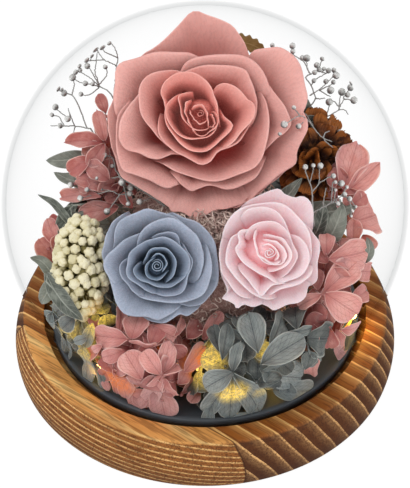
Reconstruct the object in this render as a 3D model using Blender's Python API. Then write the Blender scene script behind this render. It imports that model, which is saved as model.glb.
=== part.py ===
# Preserved roses in a glass globe on a round wooden base, lit by a small light string.
# Metres, +Z up. The origin is at the middle of the underside of the wood.

import math

import bmesh
import bpy
from mathutils import Matrix, Vector
from mathutils.bvhtree import BVHTree

for old in list(bpy.data.objects):
    bpy.data.objects.remove(old)

MM = 0.001
GAP = 0.3 * MM

# Wooden base, turned from a glued board
BASE_HEIGHT = 27.0 * MM
BASE_TOP_RADIUS = 95.2 * MM
BASE_FOOT_RADIUS = 99.3 * MM
BASE_BULGE = 2.3 * MM
EDGE_ROUND = 1.3 * MM
SEAT_RADIUS = 83.8 * MM
SEAT_DEPTH = 6.0 * MM
POCKET_RADIUS = 36.0 * MM
POCKET_DEPTH = 14.0 * MM

# Battery box in the pocket of the underside
BOX_RADIUS = POCKET_RADIUS - 0.5 * MM
BOX_HEIGHT = 13.0 * MM
BOX_RECESS = 0.6 * MM
BOX_LID_RADIUS = 30.0 * MM
BOX_LID_STEP = 0.8 * MM

# Glass globe, with a collar that stands in the seat round the tray
GLOBE_RADIUS = 100.0 * MM
GLOBE_WALL = 2.5 * MM
GLOBE_CENTRE = 96.5 * MM
SHOULDER_DROP = 45.0 * MM
COLLAR_RADIUS = 83.0 * MM
COLLAR_DROP = 62.0 * MM
BEND_STEPS = (0.5, 1.0)

# Black tray
TRAY_RADIUS = 80.0 * MM
TRAY_THICKNESS = 5.4 * MM
TRAY_RIM = 3.0 * MM
TRAY_RIM_STEP = 0.6 * MM

# The flowers face a viewer in front and above: their places are given across, up and out
# in a frame that leans back by this angle, from the globe's centre.
FACING = math.radians(41.2)

# Thickness of petals and of leaves at their middle
PETAL = 0.5 * MM
LEAF = 0.9 * MM
STEM = 1.5 * MM
TWIG = 0.5 * MM
TWIG_SIDES = 4
BUD = 1.5 * MM
WIRE = 0.5 * MM
LAMP = 1.9 * MM

SEAT_FLOOR = BASE_HEIGHT - SEAT_DEPTH
TRAY_TOP = SEAT_FLOOR + GAP + TRAY_THICKNESS
INNER_RADIUS = GLOBE_RADIUS - GLOBE_WALL
COLLAR_INNER = COLLAR_RADIUS - GLOBE_WALL

made = {}


def facing(across, up, out):
    # Millimetres across, up and out in the leaning frame, to a point in metres.
    y = up * math.sin(FACING) - out * math.cos(FACING)
    z = up * math.cos(FACING) + out * math.sin(FACING)
    return Vector((across * MM, y * MM, z * MM + GLOBE_CENTRE))


def facing_direction(across, up, out):
    return (facing(across, up, out) - facing(0, 0, 0)).normalized()


def inside(x, y, z):
    # Millimetres from the globe's centre, upright, to a point in metres.
    return Vector((x * MM, y * MM, z * MM + GLOBE_CENTRE))


def finish(name, colour, roughness, metallic=0.0, transmission=0.0):
    material = bpy.data.materials.new(name)
    material.use_nodes = True
    shader = material.node_tree.nodes["Principled BSDF"]
    shader.inputs["Base Color"].default_value = (*colour, 1.0)
    shader.inputs["Roughness"].default_value = roughness
    shader.inputs["Metallic"].default_value = metallic
    shader.inputs["Transmission Weight"].default_value = transmission
    return material


def add(name, verts, faces, material, round_angle=40.0):
    # One named object from points and faces, with all faces turned outwards.
    mesh = bpy.data.meshes.new(name)
    mesh.from_pydata([tuple(v) for v in verts], [], faces)
    body = bmesh.new()
    body.from_mesh(mesh)
    bmesh.ops.recalc_face_normals(body, faces=body.faces)
    body.to_mesh(mesh)
    body.free()
    mesh.shade_smooth()
    mesh.set_sharp_from_angle(angle=math.radians(round_angle))
    mesh.materials.append(material)
    item = bpy.data.objects.new(name, mesh)
    bpy.context.scene.collection.objects.link(item)
    made[name] = item
    return item


def rings_to_body(rings, start, end):
    # Faces for a row of rings of equal count, closed by a point at each end.
    verts = [start]
    faces = []
    count = len(rings[0])
    for ring in rings:
        verts.extend(ring)
    for k in range(count):
        faces.append((0, 1 + k, 1 + (k + 1) % count))
    for row in range(len(rings) - 1):
        low = 1 + row * count
        high = low + count
        for k in range(count):
            turn = (k + 1) % count
            faces.append((low + k, high + k, high + turn, low + turn))
    verts.append(end)
    last = 1 + (len(rings) - 1) * count
    for k in range(count):
        faces.append((last + (k + 1) % count, last + k, len(verts) - 1))
    return verts, faces


def turned(name, profile, segments, material):
    # A solid of revolution about Z. The profile runs from the axis back to the axis.
    rings = []
    for radius, height in profile[1:-1]:
        ring = []
        for k in range(segments):
            angle = 2 * math.pi * k / segments
            ring.append(Vector((radius * math.cos(angle), radius * math.sin(angle), height)))
        rings.append(ring)
    start = Vector((0, 0, profile[0][1]))
    end = Vector((0, 0, profile[-1][1]))
    verts, faces = rings_to_body(rings, start, end)
    return add(name, verts, faces, material)


def smooth_path(points, per_span):
    # Points on a smooth curve through the given ones.
    path = []
    for k in range(len(points) - 1):
        before = points[max(k - 1, 0)]
        a = points[k]
        b = points[k + 1]
        after = points[min(k + 2, len(points) - 1)]
        for step in range(per_span):
            t = step / per_span
            slope_a = (b - before) * 0.5
            slope_b = (after - a) * 0.5
            path.append((2 * t**3 - 3 * t**2 + 1) * a + (t**3 - 2 * t**2 + t) * slope_a
                        + (3 * t**2 - 2 * t**3) * b + (t**3 - t**2) * slope_b)
    path.append(points[-1])
    return path


def swept(path, halves, sides, across):
    # Rings along a path. Each ring is wide along 'across' and thin the other way.
    rings = []
    for k, point in enumerate(path):
        run = (path[min(k + 1, len(path) - 1)] - path[max(k - 1, 0)]).normalized()
        wide = (across - run * across.dot(run)).normalized()
        thin = run.cross(wide)
        half_wide, half_thin = halves[k]
        ring = []
        for side in range(sides):
            angle = 2 * math.pi * side / sides
            ring.append(point + wide * half_wide * math.cos(angle) + thin * half_thin * math.sin(angle))
        rings.append(ring)
    return rings


def rod(name, path, radii, sides, material):
    # A round stem or wire along a path, with its own radius at each point.
    halves = [(radius, radius) for radius in radii]
    across = Vector((1, 0, 0)) if abs((path[-1] - path[0]).normalized().x) < 0.8 else Vector((0, 1, 0))
    rings = swept(path, halves, sides, across)
    start = path[0] + (path[0] - path[1]).normalized() * radii[0] * 0.5
    end = path[-1] + (path[-1] - path[-2]).normalized() * radii[-1] * 0.5
    verts, faces = rings_to_body(rings, start, end)
    return add(name, verts, faces, material)


def sheet(name, grid, thickness, material):
    # A thin closed sheet over a grid of points, half its thickness to each side.
    rows = len(grid)
    columns = len(grid[0])
    front = []
    back = []
    for r in range(rows):
        for c in range(columns):
            along = grid[min(r + 1, rows - 1)][c] - grid[max(r - 1, 0)][c]
            sideways = grid[r][min(c + 1, columns - 1)] - grid[r][max(c - 1, 0)]
            normal = along.cross(sideways).normalized()
            front.append(grid[r][c] + normal * thickness / 2)
            back.append(grid[r][c] - normal * thickness / 2)
    verts = front + back
    other = len(front)
    faces = []
    for r in range(rows - 1):
        for c in range(columns - 1):
            a = r * columns + c
            quad = (a, a + 1, a + columns + 1, a + columns)
            faces.append(quad)
            faces.append(tuple(other + k for k in reversed(quad)))
    rim = [c for c in range(columns)]
    rim += [r * columns + columns - 1 for r in range(1, rows)]
    rim += [(rows - 1) * columns + c for c in range(columns - 2, -1, -1)]
    rim += [r * columns for r in range(rows - 2, 0, -1)]
    for k, a in enumerate(rim):
        b = rim[(k + 1) % len(rim)]
        faces.append((a, b, other + b, other + a))
    return add(name, verts, faces, material)


# Things that grow


def bezier(a, b, c, d, t):
    u = 1 - t
    return a * u**3 + 3 * b * u * u * t + 3 * c * u * t * t + d * t**3


# A rose's petals lie on nested cups, from a closed one at its heart to an open one outside.
# Each cup is a curve of radius and height, in parts of the rose's radius.
CLOSED_CUP = [Vector((0.08, -0.78)), Vector((0.30, -0.72)), Vector((0.41, -0.24)), Vector((0.16, 0.02))]
OPEN_CUP = [Vector((0.25, -0.98)), Vector((0.60, -0.92)), Vector((0.84, -0.55)), Vector((1.12, -0.25))]
PETAL_LEVELS = [0.10, 0.40, 0.70]
HEART = [(0.07, 0.0), (0.14, -0.04), (0.21, -0.20), (0.22, -0.40), (0.17, -0.58), (0.08, -0.72),
         (0.045, -0.82), (0.045, -1.03)]
CALYX = [(0.20, -1.05), (0.15, -1.12), (0.06, -1.17)]
HEART_SIDES = 9
HEART_LOBES = 3
HEART_TWIST = 2.2

# How a soft head gives way to its neighbours, a little at a time
SETTLE_STEP = 0.975
SETTLE_TURNS = 140


def cup(openness, t):
    points = [closed.lerp(opened, openness) for closed, opened in zip(CLOSED_CUP, OPEN_CUP)]
    return bezier(*points, t)


def flower_frame(top, axis):
    upward = facing_direction(0, 1, 0)
    out = axis.normalized()
    across = upward.cross(out).normalized()
    up = out.cross(across)
    return Matrix((
        (across.x, up.x, out.x, top.x),
        (across.y, up.y, out.y, top.y),
        (across.z, up.z, out.z, top.z),
        (0, 0, 0, 1)))


def rose(name, top, axis, radius, step, petals, stem_end, material):
    # petals: (direction in degrees, half width in steps, length on its cup, how far it is pointed)
    frame = flower_frame(top, axis)
    for rank, (direction, half, length, point) in enumerate(petals):
        openness = (rank + 1) / len(petals)
        grid = []
        for level in PETAL_LEVELS + [None]:
            row = []
            for k in range(-half, half + 1):
                angle = math.radians(direction + k * step)
                side = abs(k) / half
                end = length * (1 - 0.13 * side**2 - point * side)
                t = end if level is None else min(level, end * level / 0.85)
                r, z = cup(openness, t) * radius
                row.append(frame @ Vector((r * math.cos(angle), r * math.sin(angle), z)))
            grid.append(row)
        sheet(f"{name}_petal_{rank + 1}", grid, PETAL, material)
    sides = HEART_SIDES
    rings = []
    for fraction, height in HEART:
        ring = []
        for k in range(sides):
            angle = 2 * math.pi * k / sides
            lobe = 1 + 0.06 * math.cos(HEART_LOBES * angle + HEART_TWIST * height * 4)
            r = fraction * radius * lobe
            ring.append(frame @ Vector((r * math.cos(angle), r * math.sin(angle), height * radius)))
        rings.append(ring)
    for fraction, height in CALYX:
        ring = []
        for k in range(sides):
            angle = 2 * math.pi * k / sides
            r = fraction * radius
            ring.append(frame @ Vector((r * math.cos(angle), r * math.sin(angle), height * radius)))
        rings.append(ring)
    foot = frame @ Vector((0, 0, -1.25 * radius))
    across = (frame @ Vector((1, 0, 0)) - top).normalized()
    path = smooth_path([frame @ Vector((0, 0, -1.17 * radius)), foot, stem_end], 2)[1:]
    rings += swept(path, [(STEM, STEM)] * len(path), sides, across)
    verts, faces = rings_to_body(rings, frame @ Vector((0, 0, -0.03 * radius)), stem_end)
    add(f"{name}_heart", verts, faces, material)


def fits(point):
    # Inside the glass, with a little air, and above the tray.
    air = 0.8 * MM
    local = point - inside(0, 0, 0)
    aside = math.hypot(local.x, local.y)
    if point.z < TRAY_TOP + GAP:
        return False
    if local.length > INNER_RADIUS - air:
        return False
    return local.z > -SHOULDER_DROP or aside < COLLAR_INNER - air


def tree_of(verts, faces):
    return BVHTree.FromPolygons([tuple(v) for v in verts], faces)


def settle(centre, verts, faces, neighbours):
    # Draws the surface in towards its centre wherever it meets a neighbour.
    others = []
    for item in neighbours:
        points = [v.co.copy() for v in item.data.vertices]
        polygons = [tuple(p.vertices) for p in item.data.polygons]
        others.append((points, tree_of(points, polygons)))
    for turn in range(SETTLE_TURNS):
        swollen = [v + (v - centre).normalized() * 2.0 * GAP for v in verts]
        own = tree_of(swollen, faces)
        touched = set()
        for points, tree in others:
            for mine, _ in own.overlap(tree):
                touched.update(faces[mine])
            for point in points:
                ray = point - centre
                hit, _, face, distance = own.ray_cast(centre, ray.normalized())
                if hit is not None and distance > ray.length:
                    touched.update(faces[face])
        if not touched:
            break
        for k in touched:
            verts[k] = centre + (verts[k] - centre) * SETTLE_STEP
    return verts


def mass(name, centre, radii, rise, material, neighbours, detail=3):
    # A full, ruffled head round its centre: radii across, up and out, and 'rise' for its bumps.
    body = bmesh.new()
    bmesh.ops.create_icosphere(body, subdivisions=detail, radius=1.0)
    body.verts.ensure_lookup_table()
    directions = [v.co.normalized() for v in body.verts]
    faces = [tuple(v.index for v in f.verts) for f in body.faces]
    body.free()
    middle = facing(*centre)
    verts = []
    for k, d in enumerate(directions):
        swell = 1 + rise * math.sin(7.1 * d.x + 2.3 * k) * math.cos(5.3 * d.y - 1.7 * k)
        offset = facing(d.x * radii[0], d.y * radii[1], d.z * radii[2]) - facing(0, 0, 0)
        point = middle + offset * swell
        while not fits(point):
            point = middle + (point - middle) * 0.97
        verts.append(point)
    settle(middle, verts, faces, neighbours)
    return add(name, verts, faces, material, round_angle=25.0)


def leaf(name, points, widths, across, material):
    # A leaf with its stalk: thin at the stalk, flat and wide along the blade.
    path = smooth_path([facing(*p) for p in points], 2)
    halves = []
    for k in range(len(path)):
        place = k / (len(path) - 1) * (len(widths) - 1)
        low = min(int(place), len(widths) - 2)
        half = widths[low] + (widths[low + 1] - widths[low]) * (place - low)
        halves.append((half * MM, min(half * MM, LEAF / 2)))
    rings = swept(path, halves, 4, facing_direction(*across))
    verts, faces = rings_to_body(rings, path[0], path[-1] + (path[-1] - path[-2]) * 0.3)
    return add(name, verts, faces, material)


def twig(name, points, material):
    # A thin twig that swells to a round bud at its end.
    path = [facing(*p) for p in points]
    run = (path[-1] - path[-2]).normalized()
    path += [path[-1] + run * BUD * 1.5]
    radii = [TWIG] * (len(path) - 1) + [BUD]
    halves = [(radius, radius) for radius in radii]
    across = run.orthogonal()
    verts, faces = rings_to_body(swept(path, halves, TWIG_SIDES, across), path[0], path[-1] + run * BUD)
    return add(name, verts, faces, material)


def sprig(name, stem, side_twigs, material):
    # A stem and its side twigs, each starting inside the stem, joined into one body.
    whole = twig(name, stem, material)
    others = []
    for k, (start, *run) in enumerate(side_twigs):
        other = twig(f"{name}_twig_{k + 1}", [stem[start], *run], material)
        join = whole.modifiers.new("join", "BOOLEAN")
        join.operation = "UNION"
        join.solver = "EXACT"
        join.object = other
        others.append(other)
    bpy.context.view_layer.update()
    joined = whole.evaluated_get(bpy.context.evaluated_depsgraph_get())
    mesh = bpy.data.meshes.new_from_object(joined)
    whole.modifiers.clear()
    whole.data = mesh
    for other in others:
        del made[other.name]
        bpy.data.objects.remove(other)
    return whole


# The holder


def build_base():
    side = []
    rows = 3
    for k in range(rows + 1):
        t = k / rows
        radius = BASE_TOP_RADIUS + (BASE_FOOT_RADIUS - BASE_TOP_RADIUS) * t + 4 * BASE_BULGE * t * (1 - t)
        side.append((radius, (BASE_HEIGHT - EDGE_ROUND) * (1 - t) + EDGE_ROUND * t))
    profile = [
        (0, SEAT_FLOOR),
        (SEAT_RADIUS, SEAT_FLOOR),
        (SEAT_RADIUS, BASE_HEIGHT - EDGE_ROUND / 2),
        (SEAT_RADIUS + EDGE_ROUND / 2, BASE_HEIGHT),
        (BASE_TOP_RADIUS - EDGE_ROUND, BASE_HEIGHT),
        *side,
        (BASE_FOOT_RADIUS - EDGE_ROUND, 0),
        (POCKET_RADIUS, 0),
        (POCKET_RADIUS, POCKET_DEPTH),
        (0, POCKET_DEPTH)]
    return turned("wood_base", profile, 40, finish("scorched_pine", (0.42, 0.22, 0.09), 0.5))


def build_battery_box():
    profile = [
        (0, BOX_RECESS + BOX_HEIGHT),
        (BOX_RADIUS, BOX_RECESS + BOX_HEIGHT),
        (BOX_RADIUS, BOX_RECESS),
        (BOX_LID_RADIUS, BOX_RECESS),
        (BOX_LID_RADIUS, BOX_RECESS + BOX_LID_STEP),
        (0, BOX_RECESS + BOX_LID_STEP)]
    return turned("battery_box", profile, 20, finish("box_plastic", (0.02, 0.02, 0.022), 0.5))


def build_tray():
    profile = [
        (0, TRAY_TOP - TRAY_RIM_STEP),
        (TRAY_RADIUS - TRAY_RIM, TRAY_TOP - TRAY_RIM_STEP),
        (TRAY_RADIUS - TRAY_RIM + TRAY_RIM_STEP, TRAY_TOP),
        (TRAY_RADIUS, TRAY_TOP),
        (TRAY_RADIUS, SEAT_FLOOR + GAP),
        (0, SEAT_FLOOR + GAP)]
    return turned("black_tray", profile, 32, finish("tray_plastic", (0.015, 0.016, 0.018), 0.55))


def globe_wall(radius, collar, rows_above, rows_below):
    # From the top of the globe past its widest ring, down to where its collar begins.
    lowest = -math.asin(SHOULDER_DROP / radius)
    angles = [math.pi / 2 * (1 - k / rows_above) for k in range(1, rows_above + 1)]
    angles += [lowest * k / rows_below for k in range(1, rows_below + 1)]
    points = [(0, GLOBE_CENTRE + radius)]
    for angle in angles:
        points.append((radius * math.cos(angle), GLOBE_CENTRE + radius * math.sin(angle)))
    start = Vector(points[-1])
    end = Vector((collar, GLOBE_CENTRE - COLLAR_DROP))
    knee = Vector((collar, start.y - (start.x - collar) * start.x / SHOULDER_DROP))
    for t in BEND_STEPS:
        bend = start * (1 - t)**2 + knee * 2 * t * (1 - t) + end * t * t
        points.append((bend.x, bend.y))
    return points


def build_globe():
    outer = globe_wall(GLOBE_RADIUS, COLLAR_RADIUS, 7, 3)
    inner = globe_wall(INNER_RADIUS, COLLAR_INNER, 6, 2)
    foot = SEAT_FLOOR + GAP
    profile = outer + [(COLLAR_RADIUS, foot), (COLLAR_INNER, foot)] + inner[::-1]
    return turned("glass_globe", profile, 36, finish("clear_glass", (1, 1, 1), 0.0, transmission=1.0))


# The flowers


def build_roses():
    dusty = finish("dusty_rose_petal", (0.55, 0.22, 0.20), 0.8)
    blue = finish("blue_grey_petal", (0.24, 0.32, 0.42), 0.8)
    pale = finish("pale_pink_petal", (0.86, 0.62, 0.65), 0.8)
    # The large rose leans up a little more than the others.
    rose("dusty_rose", facing(-2.6, 43, 22), facing_direction(0, 0.12, 0.99), 53 * MM, 20, [
        (150, 3, 0.96, 0.02), (20, 3, 0.96, 0.02), (260, 3, 0.96, 0.02),
        (120, 3, 0.95, 0.03), (320, 3, 0.97, 0.03), (200, 3, 0.94, 0.03), (60, 3, 0.95, 0.03),
        (0, 3, 0.98, 0.03), (140, 3, 0.90, 0.02), (240, 3, 0.90, 0.02), (180, 3, 0.88, 0.02),
        (300, 3, 0.96, 0.04), (20, 3, 0.99, 0.04), (90, 3, 0.92, 0.12),
        ], inside(-2, 44, -25), dusty)
    rose("blue_rose", facing(-22.0, -31.6, 38), facing_direction(0, 0, 1), 29.5 * MM, 30, [
        (120, 2, 0.96, 0.02), (300, 2, 0.96, 0.02), (210, 2, 0.95, 0.02), (30, 2, 0.92, 0.02),
        (330, 2, 0.88, 0.02), (210, 2, 0.92, 0.02), (90, 2, 0.92, 0.02),
        ], inside(-20, -18, -23), blue)
    rose("pink_rose", facing(30.6, -22, 38), facing_direction(0.05, 0.05, 1), 29 * MM, 30, [
        (90, 2, 0.96, 0.02), (270, 2, 0.96, 0.02), (0, 2, 0.95, 0.02), (180, 2, 0.84, 0.02),
        (60, 2, 0.94, 0.02), (300, 2, 0.96, 0.04), (120, 2, 0.84, 0.02),
        ], inside(24, -12, -23), pale)


def build_leaves():
    grey = finish("grey_leaf", (0.27, 0.31, 0.30), 0.75)
    bronze = finish("bronze_leaf", (0.16, 0.12, 0.05), 0.7)
    leaf("leaf_left_1", [(-32, 8, -34), (-52, 16, -26), (-66, 22, -20), (-77, 25, -16)],
         [0.8, 0.8, 5.0, 1.0], (0.2, 1, 0.4), grey)
    leaf("leaf_left_2", [(-36, -14, -28), (-58, -14, -18), (-72, -8, -8), (-81, 3, -4)],
         [0.8, 0.8, 4.5, 0.8], (0.6, -0.2, 1), grey)
    leaf("leaf_left_3", [(-40, -26, -22), (-60, -30, -8), (-75, -34, 4), (-84, -28, 10)],
         [0.8, 0.8, 5.5, 1.0], (0.3, -0.8, 0.6), grey)
    leaf("leaf_right_1", [(38, -4, -22), (54, -4, -10), (66, -3, 0), (76, 1, 6)],
         [0.8, 0.8, 5.5, 1.2], (0, 1, 0.4), grey)
    leaf("leaf_right_2", [(34, -6, -16), (37, 0, -2), (42, 6, 6), (47, 13, 10)],
         [0.8, 0.8, 4.5, 1.0], (1, -0.5, 0.4), grey)
    leaf("leaf_back", [(8, 12, -58), (16, 44, -42), (23, 66, -26), (30, 82, -14)],
         [0.9, 0.9, 7.0, 1.5], (1, 0.1, 0.2), bronze)


def build_sprigs():
    silver = finish("silver_sprig", (0.62, 0.62, 0.60), 0.35, metallic=0.6)
    sprig("sprig_upper_left", [(-26, 6, -48), (-44, 34, -34), (-54, 48, -20), (-62, 60, -12)], [
        (3, (-63, 66, -9)), (3, (-69, 57, -12)), (2, (-48, 58, -14), (-47, 68, -10)),
        (2, (-66, 47, -14))], silver)
    sprig("sprig_left", [(-34, 2, -44), (-56, 26, -32), (-68, 38, -22)], [
        (2, (-76, 46, -18)), (2, (-78, 37, -18)), (1, (-68, 27, -24)), (2, (-66, 48, -18))], silver)
    sprig("sprig_middle_left", [(-36, -8, -24), (-46, 0, -6), (-48, 12, 4)], [
        (2, (-46, 22, 8)), (2, (-55, 18, 8)), (1, (-56, 2, 6)), (1, (-44, 6, 10), (-41, 8, 15))], silver)
    sprig("sprig_upper_right", [(28, 8, -50), (44, 38, -36), (52, 54, -22), (58, 64, -14)], [
        (3, (55, 70, -10)), (3, (64, 64, -10)), (2, (64, 53, -16)), (2, (47, 66, -16))], silver)
    sprig("sprig_right", [(36, -2, -28), (50, -1, -10), (58, 5, 2)], [
        (2, (62, 14, 4)), (2, (70, 8, 4)), (1, (64, -8, 2)), (1, (54, 12, 0))], silver)


def build_light_string():
    copper = finish("copper_wire", (0.70, 0.38, 0.20), 0.3, metallic=1.0)
    rests = [
        inside(-44, 36, -66), inside(-58, -6, -62), facing(-47, -56.5, 21), inside(-52, -56, -62),
        inside(-26, -42, -66.5), facing(-3.6, -80, 13), facing(7.5, -73, 16), facing(14, -94, 8),
        inside(34, -44, -66.5), inside(70, -14, -52), inside(48, 34, -66), inside(4, 46, -66)]
    per_span = 2
    path = smooth_path(rests, per_span)
    radii = []
    for k in range(len(path)):
        radii.append(LAMP if k % per_span == 0 and 0 < k < len(path) - 1 else WIRE)
    rod("light_string", path, radii, 4, copper)


def build_heads():
    cream = finish("cream_bud", (0.80, 0.74, 0.50), 0.7)
    brown = finish("dried_brown", (0.22, 0.09, 0.02), 0.7)
    pink = finish("pink_hydrangea", (0.52, 0.24, 0.23), 0.75)
    grey = finish("grey_hydrangea", (0.22, 0.26, 0.26), 0.75)
    moss = finish("pale_moss", (0.50, 0.36, 0.28), 0.95)
    heads = [
        ("berry_cluster", (-60.4, -30.8, 12), (13.5, 25, 13), 0.10, cream, 3),
        ("brown_flower", (54, 24, -16), (16, 21, 14), 0.30, brown, 2),
        ("pink_hydrangea_front", (-31, -82, 10), (28, 32, 24), 0.16, pink, 3),
        ("grey_hydrangea_front", (26, -81, 10), (38, 32, 24), 0.16, grey, 3),
        ("pink_hydrangea_right", (61, -46, 2), (20, 34, 22), 0.18, pink, 3),
        ("pink_hydrangea_far_right", (74, 7, -10), (12, 24, 15), 0.22, pink, 2),
        ("pink_hydrangea_upper_left", (-57, 22, -10), (16, 32, 15), 0.20, pink, 3),
        ("pink_hydrangea_far_left", (-75, -17, -8), (9, 13, 12), 0.20, pink, 2),
        ("grey_hydrangea_left", (-62, -56, -4), (25, 36, 22), 0.20, grey, 3),
        ("grey_hydrangea_back_left", (-46, -2, -60), (26, 24, 24), 0.18, grey, 2),
        ("pink_hydrangea_back", (0, 10, -76), (26, 24, 20), 0.18, pink, 2),
        ("grey_hydrangea_back_right", (46, -2, -60), (26, 24, 24), 0.18, grey, 2),
        ("moss_mound", (0, -30, -28), (46, 50, 46), 0.06, moss, 2)]
    for name, centre, radii, rise, material, detail in heads:
        mass(name, centre, radii, rise, material, list(made.values()), detail)


build_base()
build_battery_box()
build_tray()
build_globe()
build_roses()
build_leaves()
build_sprigs()
build_light_string()
build_heads()
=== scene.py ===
# Preserved roses in a glass globe on a scorched pine base: the looks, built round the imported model.
# Shapes are worked out in millimetres and turned into metres when a mesh is made.
import math

import bpy
import numpy as np
from mathutils import Matrix, Vector
from mathutils.bvhtree import BVHTree


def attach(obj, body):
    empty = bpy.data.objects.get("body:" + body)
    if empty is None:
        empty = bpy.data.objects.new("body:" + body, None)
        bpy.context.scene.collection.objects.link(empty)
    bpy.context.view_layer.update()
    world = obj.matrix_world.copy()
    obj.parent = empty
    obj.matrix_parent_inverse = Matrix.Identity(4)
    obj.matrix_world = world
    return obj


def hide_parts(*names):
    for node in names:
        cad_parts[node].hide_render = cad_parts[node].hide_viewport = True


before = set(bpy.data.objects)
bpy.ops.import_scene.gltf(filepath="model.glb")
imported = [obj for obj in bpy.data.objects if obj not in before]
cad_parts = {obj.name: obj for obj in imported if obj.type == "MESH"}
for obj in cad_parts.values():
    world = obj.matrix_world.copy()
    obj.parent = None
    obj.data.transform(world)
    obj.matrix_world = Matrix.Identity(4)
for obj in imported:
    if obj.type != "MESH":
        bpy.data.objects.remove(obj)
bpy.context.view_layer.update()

print("frame loaded,", len(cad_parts), "nodes")

mm = 0.001
goldenAngle = 2.39996          # the turn between neighbours that spreads points evenly over a ball
leanBack = math.radians(41.2)  # the flowers face a viewer in front and above
globeCentre = np.array([0.0, 0.0, 96.5])
facingAxes = np.array([[1, 0, 0],
                       [0, math.sin(leanBack), math.cos(leanBack)],
                       [0, -math.cos(leanBack), math.sin(leanBack)]])


def facing(points):  # across, up and out in the leaning frame, from the globe's centre
    return np.asarray(points, float) @ facingAxes + globeCentre


def facingWay(directions):
    return np.asarray(directions, float) @ facingAxes


def upright(points):
    return np.asarray(points, float) + globeCentre


# A Wire is a shader socket that can be used in sums, a Finish is a material

class Wire:
    def __init__(self, finish, socket):
        self.finish = finish
        self.socket = socket

    def sum(self, operation, other=0.0, swapped=False):
        pair = (other, self) if swapped else (self, other)
        return self.finish.node("ShaderNodeMath", {"operation": operation}, {0: pair[0], 1: pair[1]})

    def __add__(self, other): return self.sum("ADD", other)
    def __radd__(self, other): return self.sum("ADD", other, True)
    def __sub__(self, other): return self.sum("SUBTRACT", other)
    def __rsub__(self, other): return self.sum("SUBTRACT", other, True)
    def __mul__(self, other): return self.sum("MULTIPLY", other)
    def __rmul__(self, other): return self.sum("MULTIPLY", other, True)
    def __truediv__(self, other): return self.sum("DIVIDE", other)
    def __rtruediv__(self, other): return self.sum("DIVIDE", other, True)
    def __abs__(self): return self.sum("ABSOLUTE")
    def fraction(self): return self.sum("FRACT")
    def atMost(self, other): return self.sum("MINIMUM", other)
    def atLeast(self, other): return self.sum("MAXIMUM", other)

    def fade(self, low, high, start=0.0, end=1.0):  # smooth step between two values
        return self.finish.node("ShaderNodeMapRange", {"interpolation_type": "SMOOTHSTEP"},
                                {0: self, 1: low, 2: high, 3: start, 4: end})

    def fall(self, low, high, start=1.0, end=0.0):
        return self.fade(low, high, start, end)

    def lines(self, width):  # a thin line in the middle of every unit
        return abs(self.fraction() - 0.5).fall(0.0, width)

    def output(self, name):  # another output of the same node
        return Wire(self.finish, self.socket.node.outputs[name])


class Finish:
    def __init__(self, name, constants):
        self.material = bpy.data.materials.new(name)
        self.material.use_nodes = True
        self.tree = self.material.node_tree
        self.surface = self.tree.nodes["Principled BSDF"]
        for socket, value in constants.items():
            self.surface.inputs[socket].default_value = value

    def node(self, kind, settings=None, sockets=None, out=0):
        made = self.tree.nodes.new(kind)
        for key, value in (settings or {}).items():
            setattr(made, key, value)
        for key, value in (sockets or {}).items():
            self.plug(made.inputs[key], value)
        return Wire(self, made.outputs[out])

    def plug(self, socket, value):
        if isinstance(value, Wire):
            self.tree.links.new(value.socket, socket)
        else:
            socket.default_value = value

    def paint(self, name, value):
        self.plug(self.surface.inputs[name], value)

    def blend(self, amount, a, b):
        return self.node("ShaderNodeMix", {"data_type": "RGBA"}, {0: amount, 6: a, 7: b}, out=2)

    def coats(self, colour, *coats):  # each coat is an amount and the colour it lays over those below
        for amount, shade in coats:
            colour = self.blend(amount, colour, shade)
        return colour

    def place(self):  # position on the object, in metres
        return self.node("ShaderNodeTexCoord", out="Object")

    def stretched(self, turn, scale):  # position turned about Z, then scaled
        turned = self.node("ShaderNodeMapping", {"vector_type": "POINT"},
                           {"Vector": self.place(), "Rotation": (0, 0, turn)})
        return self.node("ShaderNodeVectorMath", {"operation": "MULTIPLY"}, {0: turned, 1: scale})

    def noise(self, scale, detail=3.0, rough=0.55, where=None):
        return self.node("ShaderNodeTexNoise", {}, {
            "Vector": where or self.place(), "Scale": scale, "Detail": detail, "Roughness": rough})

    def shades(self):  # what each mesh says of its own surface: along, across, tone and side
        colour = self.node("ShaderNodeAttribute", {"attribute_name": "shade"}, out="Color")
        split = self.node("ShaderNodeSeparateColor", {}, {0: colour})
        return [split, split.output(1), split.output(2), colour.output("Alpha")]

    def bump(self, height, distance, strength=1.0):
        self.paint("Normal", self.node("ShaderNodeBump", {}, {
            "Height": height, "Distance": distance, "Strength": strength}))


def tone(red, green, blue):  # a colour as a screen shows it, 0 to 255
    linear = [((c / 255 + 0.055) / 1.055) ** 2.4 for c in (red, green, blue)]
    return (*linear, 1.0)


# Meshes. A part is its points, its faces in groups of one size, and four shades a point: along, across,
# tone and side, each 0 to 1, which Finish.shades reads.

def unit(vectors):
    return vectors / np.maximum(np.linalg.norm(vectors, axis=-1, keepdims=True), 1e-9)


def frameFor(along, spin=0.0):  # rows: across, up and out of a part that faces 'along'
    out = unit(np.asarray(along, float))
    side = unit(np.cross([0.13, 0.21, 1.0] if abs(out[2]) < 0.9 else [0.2, 1.0, 0.1], out))
    up = np.cross(out, side)
    c, s = math.cos(spin), math.sin(spin)
    return np.stack([side * c + up * s, up * c - side * s, out])


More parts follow.
